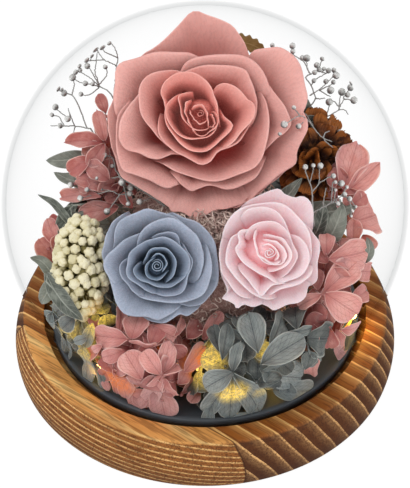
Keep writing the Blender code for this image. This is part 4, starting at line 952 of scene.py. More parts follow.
placedSepals = {
    "pinkFront": [
        (-36, -64, 33, -53, -63, 19, 11.8, 8, 0.12, 0.75), (-35, -64, 32, -32, -54, 23, 12.8, -5, 0.1, 0.7),
        (-25, -58, 26, -14, -64, 24, 9.6, 0, 0.1, 0.6), (-36, -64, 35, -23, -66, 35, 7.6, 66, 0.05, 0.8),
        (-20, -79, 36, -17, -65, 31, 9.4, 10, 0.15, 0.65), (-21, -80, 38, -29, -69, 38, 9.4, -10, 0.12, 0.85),
        (-30, -83, 34, -38, -70, 35, 13.2, 6, 0.12, 0.75), (-20, -80, 36, -29, -99, 10, 10.3, 0, 0.05, 0.95),
        (-20, -81, 37, -13, -76, 33, 11.3, -30, 0.6, 0.35), (-19, -82, 36, -14, -92, 23, 6.6, 35, 0.2, 0.6),
        (-23, -89, 24, -20, -105, 13, 17.2, 0, 0.1, 0.7), (-26, -90, 19, -38, -98, 7, 12.5, 5, 0.1, 0.7),
        (-36, -82, 30, -43, -93, 5, 13.3, 0, 0.1, 0.5), (-49, -68, 26, -58, -75, 6, 8.6, 20, 0.2, 0.35),
        (-49, -67, 28, -54, -70, 23, 4.3, 0, 0.1, 0.7), (-38, -69, 32, -49, -73, 28, 8.1, -20, 0.1, 0.6),
        (-10, -80, 28, 0, -68, 13, 9, 12, 0.15, 0.65), (-1, -66, 12, 8, -52, 12, 7.8, 10, 0.1, 0.7),
        (-15, -63, 28, -11, -55, 14, 4.8, 40, 0.2, 0.75), (-9, -65, 17, -3, -57, 10, 9.7, 10, 0.2, 0.2),
        (-41, -61, 27, -41, -49, 11, 6.2, 15, 0.1, 0.7), (-52, -60, 12, -57, -54, 12, 5.8, 20, 0.1, 0.8),
        (-3, -91, 10, -7, -96, 16, 6.8, 10, 0.2, 0.6), (-26, -67, 31, -22, -58, 24, 9.5, 0, 0.1, 0.45),
        (-30, -78, 34, -26, -72, 32, 8.5, 0, 0.1, 0.45), (-13, -86, 26, -9, -80, 23, 7.6, 20, 0.2, 0.4),
        (-16, -67, 25, -10, -73, 22, 8.6, 0, 0.1, 0.35), (-44, -77, 26, -51, -85, 2, 8.6, 0, 0.1, 0.35),
        (-44, -78, 28, -38, -95, 7, 12.9, 0, 0.12, 0.5), (-52, -83, 3, -48, -92, 2, 5.4, 0, 0.1, 0.75),
        (-48, -76, 22, -43, -92, 5, 10.6, 0, 0.1, 0.5), (-33, -91, 13, -31, -100, 10, 10.7, 0, 0.1, 0.45)],
    "greyFront": [
        (25, -70, 40, 21, -52, 26, 13.1, 4, 0.12, 0.85), (30, -69, 36, 37, -52, 20, 9.4, 25, 0.15, 0.5),
        (44, -60, 27, 44, -50, 13, 13.4, -10, 0.25, 0.45), (38, -61, 33, 51, -59, 24, 6.2, 20, 0.2, 0.6),
        (26, -75, 42, 47, -63, 33, 13.1, -16, 0.12, 0.7), (27, -79, 34, 47, -85, 8, 17.8, 10, 0.1, 0.85),
        (49, -64, 26, 61, -65, 11, 17.7, 0, 0.12, 0.15), (33, -90, 15, 55, -94, -1, 14.5, 12, 0.1, 0.65),
        (13, -79, 37, 27, -102, 11, 15, -6, 0.1, 0.9), (13, -79, 39, 0, -87, 33, 12.2, 8, 0.12, 0.85),
        (13, -80, 37, 12, -105, 14, 12.3, 0, 0.08, 0.8), (12, -83, 35, 1, -101, 14, 11.3, 5, 0.1, 0.7),
        (28, -93, 14, 23, -105, 12, 8.2, 40, 0.2, 0.6), (27, -102, 11, 10, -106, 14, 4.4, 40, 0.1, 0.9),
        (13, -79, 36, 17, -65, 34, 7.1, -15, 0.15, 0.65), (8, -74, 32, 11, -57, 25, 7.6, 10, 0.15, 0.45),
        (7, -70, 30, 4, -58, 20, 6.7, -10, 0.12, 0.35), (3, -96, 19, 1, -108, 11, 6.7, 10, 0.1, 0.6),
        (23, -58, 23, 28, -50, 13, 8.6, 0, 0.1, 0.1), (17, -60, 26, 15, -54, 19, 5.7, 0, 0.1, 0.3),
        (39, -85, 18, 43, -95, 5, 10.6, 20, 0.15, 0.5), (20, -87, 32, 16, -93, 20, 9.5, 0, 0.1, 0.5),
        (46, -71, 25, 56, -77, 7, 8.6, 0, 0.1, 0.3)],
    "pinkRight": [
        (59, -26, 25, 79, -23, 8, 16.3, 0, 0.14, 0.8), (58, -25, 23, 59, -14, 13, 8.2, 0, 0.12, 0.65),
        (57, -42, 27, 73, -28, 19, 14.3, -14, 0.14, 0.7), (57, -42, 30, 73, -52, 26, 16.2, 8, 0.12, 0.8),
        (56, -43, 28, 45, -49, 20, 6.7, 30, 0.2, 0.75), (54, -41, 24, 53, -31, 20, 7.7, 10, 0.2, 0.25),
        (65, -60, 23, 77, -60, 12, 8.1, 20, 0.2, 0.8), (64, -61, 8, 71, -77, -18, 8.6, -10, 0.12, 0.8),
        (63, -68, 5, 75, -78, -21, 6.3, 20, 0.15, 0.7), (52, -72, 14, 54, -85, 0, 9.7, 0, 0.15, 0.85),
        (60, -31, 23, 68, -38, 23, 10.6, 0, 0.1, 0.4), (59, -28, 23, 54, -23, 19, 5.8, 0, 0.1, 0.4),
        (70, -46, 21, 79, -42, 11, 9.6, 0, 0.1, 0.5), (72, -32, 14, 82, -33, -2, 10.7, 10, 0.1, 0.5)],
    "farRight": [
        (72, -9, 4, 85, -5, -7, 19.7, -12, 0.15, 0.6), (73, -20, -5, 73, -7, 7, 8.4, 10, 0.12, 0.7),
        (68, 5, 6, 87, 21, -7, 10.3, 14, 0.2, 0.7, 0.95), (68, 7, 4, 76, 31, -9, 16.2, -6, 0.12, 0.6),
        (72, 0, 6, 79, 5, 5, 8.8, 0, 0.12, 0.35), (70, 8, 4, 74, 0, 4, 9.8, 0, 0.1, 0.25),
        (79, -15, -11, 84, -23, -11, 9, 10, 0.1, 0.6)],
    "upperLeft": [
        (-49, 45, -2, -53, 55, -9, 6.4, 10, 0.2, 0.3), (-49, 31, 7, -53, 46, 4, 7.3, -6, 0.12, 0.8),
        (-49, 31, 5, -69, 31, 2, 8.8, 14, 0.2, 0.6), (-49, 30, 7, -57, 19, 9, 8.3, 0, 0.15, 0.4),
        (-56, 23, 9, -67, 16, 5, 9.3, 10, 0.15, 0.75), (-47, 12, 5, -57, 21, 9, 9.8, -8, 0.15, 0.5),
        (-43, 8, -3, -63, 13, 8, 8.4, 10, 0.12, 0.7), (-51, 4, 5, -72, 4, -6, 7.9, 20, 0.12, 0.8),
        (-43, -1, -4, -62, -5, 3, 10.4, -8, 0.12, 0.8), (-36, -2, -5, -41, 6, -5, 6.5, 0, 0.15, 0.65),
        (-43, 5, -8, -49, 2, 1, 6, 0, 0.1, 0.05), (-45, 22, 2, -43, 28, -2, 7.4, 0, 0.1, 0.3)],
    "farLeft": [
        (-72, -21, 4, -78, -7, -1, 8.8, 0, 0.15, 0.6), (-72, -30, -5, -82, -17, 2, 10.9, 8, 0.12, 0.3),
        (-71, -11, 0, -77, -6, -4, 5.9, 0, 0.1, 0.4), (-71, -25, -3, -78, -34, -10, 7.9, 0, 0.1, 0.35)],
    "greyLeft": [
        (-71, -55, 4, -75, -76, -22, 13.5, 8, 0.08, 0.75), (-74, -52, 18, -77, -61, 13, 6.3, 8, 0.15, 0.7),
        (-66, -63, 10, -70, -79, -16, 3.8, 50, 0.15, 0.9), (-61, -58, 15, -67, -72, -11, 5.3, 40, 0.3, 0.3),
        (-54, -57, 20, -58, -69, 19, 6.3, 10, 0.15, 0.6), (-59, -67, 20, -62, -89, -6, 12.5, -6, 0.08, 0.85),
        (-55, -77, 10, -50, -91, 0, 9.5, 10, 0.1, 0.8), (-70, -55, 19, -79, -54, 11, 7.2, 0, 0.15, 0.5),
        (-63, -54, 22, -69, -60, 21, 8.6, 0, 0.12, 0.6), (-57, -64, 22, -63, -66, 22, 4.8, 0, 0.1, 0.95),
        (-65, -46, 19, -72, -52, 18, 8.7, 0, 0.12, 0.6)],
}


heads = {
    "pinkFront": {"node": "pink_hydrangea_front", "at": (-31, -82, 10), "size": (28, 32, 24), "florets": 30},
    "greyFront": {"node": "grey_hydrangea_front", "at": (26, -81, 10), "size": (38, 32, 24), "florets": 34},
    "pinkRight": {"node": "pink_hydrangea_right", "at": (61, -46, 2), "size": (20, 34, 22), "florets": 26},
    "farRight": {"node": "pink_hydrangea_far_right", "at": (74, 7, -10), "size": (12, 24, 15), "florets": 16},
    "upperLeft": {"node": "pink_hydrangea_upper_left", "at": (-57, 22, -10), "size": (16, 32, 15), "florets": 20,
                  "tone": 0.55},
    "farLeft": {"node": "pink_hydrangea_far_left", "at": (-75, -17, -8), "size": (9, 13, 12), "florets": 9,
                "tone": 0.7},
    "greyLeft": {"node": "grey_hydrangea_left", "at": (-62, -56, -4), "size": (25, 36, 22), "florets": 28},
    "backLeft": {"node": "grey_hydrangea_back_left", "at": (-46, -2, -60), "size": (26, 24, 24), "florets": 28},
    "backMiddle": {"node": "pink_hydrangea_back", "at": (0, 10, -76), "size": (26, 24, 20), "florets": 27},
    "backRight": {"node": "grey_hydrangea_back_right", "at": (46, -2, -60), "size": (26, 24, 24), "florets": 28},
}
fronted = {"spread": 0.80, "tone": 0.30}  # florets behind placed sepals: how far out in the head, how light; their low tone is painted shade behind the placed sepals
whole = {"spread": 0.90, "tone": 0.62}    # florets of the heads at the back, which have no placed sepals
usualBlunt = 0.42


def sepal(base, tip, width, roll, cup, shade, rng, outwards=(0, 0, 1), rows=12, cols=11, curl=0.0,
          blunt=usualBlunt):
    base, tip, outwards = (np.array(p, float) for p in (base, tip, outwards))
    length = np.linalg.norm(tip - base)
    run = (tip - base) / length
    out = unit(outwards - run * outwards.dot(run))
    side = np.cross(run, out)
    turn = math.radians(roll)
    out, side = out * math.cos(turn) + side * math.sin(turn), side * math.cos(turn) - out * math.sin(turn)
    v = np.clip(1 - (1 - np.linspace(0, 1, rows)) ** 1.5, 0.01, 0.994)[:, None]
    u = np.linspace(-1, 1, cols)[None]

    # the outline: narrow at the foot, blunt at the tip
    narrow, round_ = rng.uniform(0.6, 0.85), blunt * rng.uniform(0.85, 1.2)
    peak = narrow / (narrow + round_)
    half = width / 2 * v**narrow * (1 - v)**round_ / (peak**narrow * (1 - peak)**round_)
    half = half * (1 + 0.05 * np.sin(rng.uniform(5, 9) * v + anyTurn(rng)))
    forward = v * length + rng.uniform(0.0, 0.07) * length * np.exp(-(u / 0.2) ** 2) * v**8

    # the lift: cupped, bowed, waved, and creased along the middle
    waves = sum(rng.uniform(0.3, 1.0) * np.sin(rng.uniform(1.5, 4.5) * u + rng.uniform(2, 6) * v + anyTurn(rng))
                for _ in range(3))
    lift = cup * width * (u**2 - 0.15) * np.sin(math.pi * np.clip(v * 0.9 + 0.1, 0, 1))
    lift = lift + 0.07 * length * np.sin(math.pi * v) + curl * length * v**2 + 0.032 * length * waves * v
    frill = rng.uniform(0.02, 0.05) * length * np.sin(rng.uniform(9, 15) * v + anyTurn(rng))
    lift = lift + np.abs(u) ** 3 * frill - 0.02 * length * np.exp(-(u / 0.12) ** 2)

    spin = rng.uniform(-0.35, 0.35) * v
    aside = u * half
    across = aside * np.cos(spin) + lift * np.sin(spin)
    lift = lift * np.cos(spin) - aside * np.sin(spin)
    grid = base + forward[..., None] * run + across[..., None] * side + lift[..., None] * out
    return sheetPart(grid, 0.35, shade, rng.uniform())


def floret(centre, outwards, size, rng, shade):  # four sepals round a small eye
    turned = frameFor(outwards, anyTurn(rng))
    out = unit(np.array(outwards, float))
    parts = []
    for k in range(4):
        angle = math.pi / 2 * (k + rng.uniform(-0.12, 0.12))
        way = np.array([math.cos(angle), math.sin(angle), rng.uniform(-0.1, 0.35)]) @ turned
        length = size * rng.uniform(0.85, 1.12)
        start = centre + (0.3 if k % 2 else 0.0) * out + way * 0.4
        parts.append(sepal(start, start + way * length, length * rng.uniform(0.85, 1.08), rng.uniform(-14, 14),
                           rng.uniform(0.02, 0.16), shade * rng.uniform(0.8, 1.1), rng, outwards, rows=8, cols=7,
                           curl=rng.uniform(-0.12, 0.10)))
    parts.append(ballPart(centre + out * 0.7, 1.0, 5, 7, 0.15))
    return parts


def headParts(name, head, rng):
    at, size, count = np.array(head["at"], float), np.array(head["size"], float), head["florets"]
    parts = []
    for row in placedSepals.get(name, ()):
        width, roll, cup, shade, blunt = (row + (usualBlunt,))[6:11]
        parts.append(sepal(row[0:3], row[3:6], width, roll, cup, shade * head.get("tone", 1), rng, rows=16, cols=15,
                           blunt=blunt))
    kind = fronted if name in placedSepals else whole
    for k in range(count):
        ball = overBall(k, count)
        centre = at + size * ball * kind["spread"] * rng.uniform(0.92, 1.0)
        way = unit(ball / size) + rng.normal(0, 0.12, 3)
        parts += filter(insideOutline, floret(centre, way, rng.uniform(9.5, 12.0), rng,
                                              kind["tone"] * rng.uniform(0.7, 1.2)))
    for _ in range(count // 3):  # dark ones deep inside, their dark tone painted shade between the florets
        ball = unit(rng.normal(0, 1, 3))
        parts += filter(insideOutline, floret(at + size * ball * 0.5, ball, 9, rng, 0.10))
    stem = throughPoints([at * [0.5, 0.5, 0.4] + [0, -14, -30], at * 0.8 - [0, 0, 12], at], 10)
    return settled(parts + [tubePart(stem, 1.1, 6, 0.1)])


sepalLooks = {
    "pink": {"deep": tone(140, 56, 54), "body": tone(226, 152, 146), "pale": tone(246, 200, 192),
             "vein": tone(158, 84, 84), "veins": 0.6, "lit": tone(232, 128, 26), "strength": 0.6,
             "spots": lampSpots[1:]},
    "grey": {"deep": tone(50, 56, 56), "body": tone(124, 132, 132), "pale": tone(186, 191, 184),
             "vein": tone(44, 48, 58), "veins": 0.75, "lit": tone(246, 212, 90), "strength": 1.0,
             "spots": lampSpots},
}


def sepalFinish(name, settings):
    deep, pale, lit = settings["deep"], settings["pale"], settings["lit"]
    look = Finish(name, {"Sheen Weight": 0.08, "Sheen Roughness": 0.4, "IOR": 1.4, "Specular IOR Level": 0.15,
                         "Subsurface Weight": 0.4, "Subsurface Scale": 0.002, "Subsurface Radius": (1.0, 0.7, 0.5)})
    along, across, shade, side = look.shades()
    cloud = look.noise(160, 4, 0.6)
    bend = look.noise(500, 2, 0.5) - 0.5
    off = abs(across - 0.5) * 2
    ribs = (off * 3.2 + bend * 0.35).lines(0.10) * along.fade(0.55, 0.95, 1.0, 0.35)
    branches = (along * 8 - off * 3.0 + bend * 0.9).lines(0.12)
    veins = (ribs * 0.55 + branches * 0.45 + off.fall(0.0, 0.10) * 0.7).atMost(1.0)
    edge = off.fade(0.88, 0.99).atLeast(along.fade(0.965, 0.998))
    # painted lamp light round the lampSpots
    amount = lampLight(look, lit, veins, settings["strength"], settings["spots"])
    look.paint("Base Color", look.coats(
        look.blend(shade.fade(0.0, 0.95), deep, settings["body"]),
        (cloud.fade(0.35, 0.75) * 0.35, pale),
        (side * 0.22, pale),
        (along.fall(0.0, 0.4, 0.5), deep),
        (veins * settings["veins"], settings["vein"]),
        (edge * 0.6, pale),
        # base colour warmed and darkened under the painted lamp light
        (amount * 0.8, (lit[0] * 0.5, lit[1] * 0.4, lit[2] * 0.3, 1))))
    look.paint("Roughness", 0.6 + cloud * 0.2)
    look.bump(veins * -0.6 + look.noise(900, 3, 0.6) * 0.5 + cloud * 0.3, 0.0003, 0.7)
    return look


def buildHydrangeas():
    looks = {colour: sepalFinish(colour + " sepal", settings) for colour, settings in sepalLooks.items()}
    for k, (name, head) in enumerate(heads.items()):
        colour = head["node"].split("_")[0]
        makePiece("sepals_" + name, headParts(name, head, np.random.default_rng(40 + k)), looks[colour],
                  colour + "_sepal", [head["node"]])


buildHydrangeas()
print("hydrangeas built")


# The head of cream buds: an outer layer and one under it, painted darker as shade between the buds

buds = {
    "at": (-60.4, -30.8, 12), "size": (14.5, 26, 14), "layers": [
        {"share": 1.0, "count": 150, "tone": (0.35, 1.0), "detail": (12, 22)},
        {"share": 0.66, "count": 60, "tone": (0.1, 0.3), "detail": (7, 12)}],
    "stem": [(-40, -40, -44), (-52, -36, -16)],
    "dark": tone(176, 164, 104), "light": tone(240, 232, 200), "cloud": tone(212, 196, 128),
    "foot": tone(158, 146, 76), "deep": tone(112, 98, 46), "tip": tone(120, 84, 40), "lit": tone(250, 190, 60),
}


def budShape(rng):  # folded scales round a bud
    phase, count, skew = anyTurn(rng), rng.integers(4, 7), rng.uniform(0.6, 1.6)
    low, high = anyTurn(rng), rng.uniform(2, 3.5)

    def scales(d):
        angle, height = np.arctan2(d[:, 1], d[:, 0]), d[:, 2]
        fold = np.abs(np.sin(count / 2 * angle + phase + skew * height))
        waist = np.sqrt(np.clip(1 - height**2, 0, 1))
        ring = 0.05 * np.sin(high * 3 * height + 2 * angle + low)
        dent = 0.10 * np.clip(height - 0.86, 0, 1) / 0.14
        body = 1 - 0.24 * (1 - fold) ** 1.5 * waist + ring * waist - dent
        return body * (1 - 0.30 * np.clip(-height, 0, 1) ** 2)
    return scales


def buildBuds():
    rng = np.random.default_rng(7)
    at, size = np.array(buds["at"]), np.array(buds["size"])
    parts = []
    for layer in buds["layers"]:
        for k in range(layer["count"]):
            ball = unit(overBall(k, layer["count"]) + rng.normal(0, 0.05, 3))
            centre = at + (size - 2.0) * layer["share"] * ball * rng.uniform(0.92, 1.05)
            radius = rng.uniform(2.2, 3.0)
            way = unit(ball / size + rng.normal(0, 0.012, 3))
            shade = rng.uniform(*layer["tone"])
            parts.append(ballPart(centre, radius, *layer["detail"], shade, way, budShape(rng)))
            stalk = throughPoints([centre - way * radius * 0.8, centre - way * 5, at + (centre - at) * 0.3], 6)
            parts.append(tubePart(stalk, 0.5, 5, 0.0))
    parts.append(tubePart(throughPoints(buds["stem"] + [at], 10), 1.0, 6, 0.0))

    look = Finish("cream bud", {"IOR": 1.4, "Specular IOR Level": 0.3})
    height, _, shade, _ = look.shades()
    cloud, tips = look.noise(600, 4, 0.6), look.noise(1500, 2, 0.6)
    look.paint("Base Color", look.coats(
        look.blend(shade.fade(0.05, 0.6), buds["dark"], buds["light"]),
        (cloud.fade(0.5, 0.72) * 0.5, buds["cloud"]),
        (height.fall(0.2, 0.62, 0.85), buds["foot"]),
        (shade.fall(0.0, 0.05), buds["deep"]),
        (height.fade(0.94, 1.0) * tips.fade(0.5, 0.62) * 0.7, buds["tip"])))
    # painted lamp light round the lampSpots
    lampLight(look, buds["lit"], cloud, 0.8)
    look.paint("Roughness", 0.55 + cloud * 0.25)
    look.bump(cloud * 0.9 + tips * 0.4, 0.0005, 0.9)
    makePiece("cream_buds", settled(parts), look, "cream_bud", ["berry_cluster"])


buildBuds()
print("buds built")


# The dried brown flower: narrow frilled petals that open from the middle outwards

brown = {
    "at": (55.0, 23.5, -17), "size": (14.5, 20, 13), "petals": 58, "core": 0.72,
    "opens": 1.95,                             # tilt of the outermost petals from the axis, in radians
    "foot": -0.55, "tip": 0.10, "face": -0.7,  # tilts of a petal's foot, tip and face from its own
    "stem": [(24, -10, -50), (44, 10, -36)],
    # deep is painted shade at the petals' feet and on the core
    "dark": tone(104, 48, 14), "light": tone(186, 108, 42), "deep": tone(36, 10, 4), "cloud": tone(198, 124, 58),
    # edge is a painted highlight along the petal edges
    "line": tone(52, 22, 10), "edge": tone(206, 144, 90),
}


def buildBrownFlower():
    rng = np.random.default_rng(12)
    at, size = np.array(brown["at"]), np.array(brown["size"])
    points, faces, shades = ballPart((0, 0, 0), 1.0, 14, 20, 0.0)
    # the core ball takes the flower's darkest colour, painted shade between the petals' feet
    parts = [(points * size * brown["core"] + at, faces, shades * [0, 1, 0, 1])]
    for k in range(brown["petals"]):
        angle = k * goldenAngle + rng.uniform(-0.3, 0.3)
        own = ((k + 0.5) / brown["petals"]) ** 0.5 * brown["opens"]
        foot, tip, face = [tilted(own + brown[name], angle) for name in ("foot", "tip", "face")]
        tip = at + tip * size * rng.uniform(1.02, 1.24)
        face = face + rng.normal(0, 0.16, 3)
        points, faces, shades = sepal(at + foot * size * 0.60, tip, rng.uniform(8, 12), rng.uniform(-40, 40),
                                      rng.uniform(-0.1, 0.35), rng.uniform(0.2, 1.0), rng, face, rows=12, cols=13,
                                      curl=rng.uniform(0.0, 0.5), blunt=0.26)
        along, across = shades[:, :1], shades[:, 1:2]
        frill = np.sin(across * rng.uniform(20, 34) + rng.uniform(0, 6)) * along**3 * rng.uniform(0.6, 1.2)
        parts.append((points + frill * unit(face), faces, shades))
    parts.append(tubePart(throughPoints(brown["stem"] + [at], 8), 1.2, 6, 0.2))

    look = Finish("dried brown petal", {"IOR": 1.45, "Specular IOR Level": 0.4})
    along, across, shade, _ = look.shades()
    cloud = look.noise(300, 4, 0.65)
    lines = (across * 9 + (cloud - 0.5) * 0.6).lines(0.18)
    look.paint("Base Color", look.coats(
        look.blend(shade.fade(0.1, 1.0), brown["dark"], brown["light"]),
        # painted shade: each petal goes dark towards its foot, between the others
        (along.fall(0.30, 0.88), brown["deep"]),
        (cloud.fade(0.45, 0.75) * 0.5, brown["cloud"]),
        (lines * 0.4, brown["line"]),
        # painted highlight along the petal edges
        (along.fade(0.93, 1.0) * 0.4, brown["edge"])))
    look.paint("Roughness", 0.45 + cloud * 0.25)
    look.bump(lines * -0.6 + cloud * 0.6, 0.0003, 0.8)
    makePiece("brown_bloom", settled(parts), look, "dried_brown", ["brown_flower"])


buildBrownFlower()
print("brown flower built")


# Leaves: each runs along four points, with its half width, fold and roll in degrees, and tone

leaves = [
    ((-54, 23, -6), (-62, 23, -6), (-71, 22, -6), (-79, 22, -6), 4.6, 14, 6, 0.8),
    ((-54, 9, -4), (-62, 11, -4), (-69, 13, -4), (-75, 16, -4), 4.2, 16, -6, 0.7),
    ((-63, -14, 4), (-68, -7, 4), (-74, 0, 4), (-82, 5, 4), 2.9, 44, 10, 0.45),
    ((-63, 0, 2), (-68, -4, 2), (-71, -9, 2), (-73, -14, 2), 3.6, 30, 10, 0.35),
    ((-70, -39, 4), (-75, -34, 4), (-80, -28, 4), (-86, -26, 4), 3.4, 20, 8, 0.7),
    ((-74, -34, 0), (-76, -39, 0), (-79, -45, -1), (-82, -49, -5), 4.0, 12, 0, 0.9),
    ((-76.7, -33.5, 18), (-72, -41.5, 23), (-66, -49, 25), (-58.5, -55.5, 25), 4.6, 24, 0, 0.4),
    ((-74, -48, 8), (-71, -53, 8), (-68, -57, 8), (-65, -61, 8), 4.0, 16, 10, 0.6),
    ((38, -4, -22), (54, -4, -10), (66, -3, 0), (76, 1, 6), 5.8, 16, 0, 0.7),
    ((34, -6, -16), (37, 0, -2), (42, 6, 6), (47, 13, 10), 4.8, 20, 10, 0.5),
    ((-52, -2, -12), (-62, -2, -4), (-68, -8, 2), (-72, -15, 4), 5.0, 30, -20, 0.35),
    ((-64, 2, -8), (-64, -4, 2), (-61, -9, 8), (-58, -14, 10), 4.0, 34, 20, 0.3),
    ((48, 34, -30), (51, 42, -20), (51, 48, -14), (50, 54, -12), 4.6, 30, 10, 0.5),
    ((42, 36, -24), (49, 40, -14), (56, 42, -12), (60, 43, -12), 5.2, 30, -10, 0.3),
    ((58, -20, 4), (62, -14, 10), (65, -7, 12), (67, 0, 12), 5.2, 18, 0, 0.85),
    ((52, -18, 4), (55, -12, 10), (57, -6, 11), (58, 1, 10), 4.2, 24, 10, 0.3),
    ((76, -28, -2), (79, -26, 2), (81, -22, 2), (80, -16, 0), 3.0, 10, 0, 1.0),
    ((70, -46, 4), (74, -46, 8), (77, -43, 8), (78, -40, 6), 3.4, 10, 0, 1.0),
]
bronzeLeaf = ((4, 74, -34), (13, 81.5, -27), (22, 81.5, -24), (32, 76.5, -22), 4.6, 6, 0, 0.9)
leafSettings = {
    "stalk": 0.6, "stalkShade": 0.3, "teeth": 0.16,  # only the bronze leaf has teeth
    "bronzeStalk": [(2, 44, -54), (0, 4, -58)],
    "grey": (tone(66, 72, 66), tone(132, 136, 126), tone(186, 190, 178)),
    "bronze": (tone(70, 48, 20), tone(124, 94, 50), tone(160, 132, 84)),
    "lit": tone(240, 200, 70),
}


def leafPart(row, rng, teeth=0.0, rows=26, cols=11):
    path = throughPoints(row[:4], rows)
    half, fold, roll, shade = row[4:]
    run = unit(np.gradient(path, axis=0))
    side = unit(np.cross(run, [0.1, 0.2, 1.0]))
    out = np.cross(side, run)
    turn = math.radians(roll) + np.linspace(0, rng.uniform(-0.5, 0.5), rows)[:, None]
    side, out = side * np.cos(turn) + out * np.sin(turn), out * np.cos(turn) - side * np.sin(turn)
    v = np.linspace(0, 1, rows)[:, None]
    u = np.linspace(-1, 1, cols)[None]
    wide = half * np.sin(math.pi * (0.06 + 0.94 * v) ** 1.1) ** 0.75 * np.ones(cols)
    wide = wide * (1 + teeth * np.sin(v * 60) * u**2)
    bend = math.radians(fold)
    wave = 0.14 * half * np.sin(v * rng.uniform(8, 14) + rng.uniform(0, 6)) * u**2
    lift = wide * np.abs(u) * math.sin(bend) * (1 - 0.4 * v) + wave
    aside = wide * u * math.cos(bend)
    grid = path[:, None] + aside[..., None] * side[:, None] + lift[..., None] * out[:, None]
    return sheetPart(grid, 0.5, shade, rng.uniform())


def leafFinish(name, deep, body, pale):
    look = Finish(name, {"Sheen Weight": 0.3, "Sheen Roughness": 0.4, "IOR": 1.4, "Specular IOR Level": 0.3})
    along, across, shade, _ = look.shades()
    cloud = look.noise(220, 4, 0.6)
    off = abs(across - 0.5) * 2
    ribs = (along * 9 - off * 1.6).lines(0.10) * 0.5
    middle = off.fall(0.02, 0.14)
    look.paint("Base Color", look.coats(
        look.blend(shade.fade(0.1, 0.95), deep, body),
        (cloud.fade(0.4, 0.75) * 0.4, pale),
        ((ribs + middle).atMost(1.0) * 0.6, pale),
        (off.fade(0.9, 1.0) * 0.5, pale)))
    # painted lamp light round the lampSpots
    lampLight(look, leafSettings["lit"], ribs, 0.8)
    look.paint("Roughness", 0.55 + cloud * 0.25)
    look.bump(ribs * 0.8 + middle + cloud * 0.5, 0.0004, 0.7)
    return look


def buildLeaves():
    rng = np.random.default_rng(5)
    stalk, stalkShade = leafSettings["stalk"], leafSettings["stalkShade"]
    parts = []
    for row in leaves:
        parts.append(leafPart(row, rng))
        hidden = np.array(row[0]) * [0.6, 1, 1] - [0, 0, 14]
        parts.append(tubePart(throughPoints([hidden, row[0], row[1]], 8), stalk, 5, stalkShade))
    makePiece("grey_leaves", settled(parts), leafFinish("grey leaf", *leafSettings["grey"]), "grey_leaf",
              ["leaf_left_1", "leaf_left_2", "leaf_left_3", "leaf_right_1", "leaf_right_2"])
    path = throughPoints([bronzeLeaf[1], bronzeLeaf[0]] + leafSettings["bronzeStalk"], 24)
    parts = [leafPart(bronzeLeaf, rng, leafSettings["teeth"], 70, 15), tubePart(path, stalk, 6, stalkShade)]
    makePiece("bronze_serrated_leaf", settled(parts), leafFinish("bronze leaf", *leafSettings["bronze"]),
              "bronze_leaf", ["leaf_back"])


buildLeaves()
print("leaves built")


# Silver sprigs: the twigs and buds as they were measured, in the leaning frame. A bud is across, up, out
# and radius.

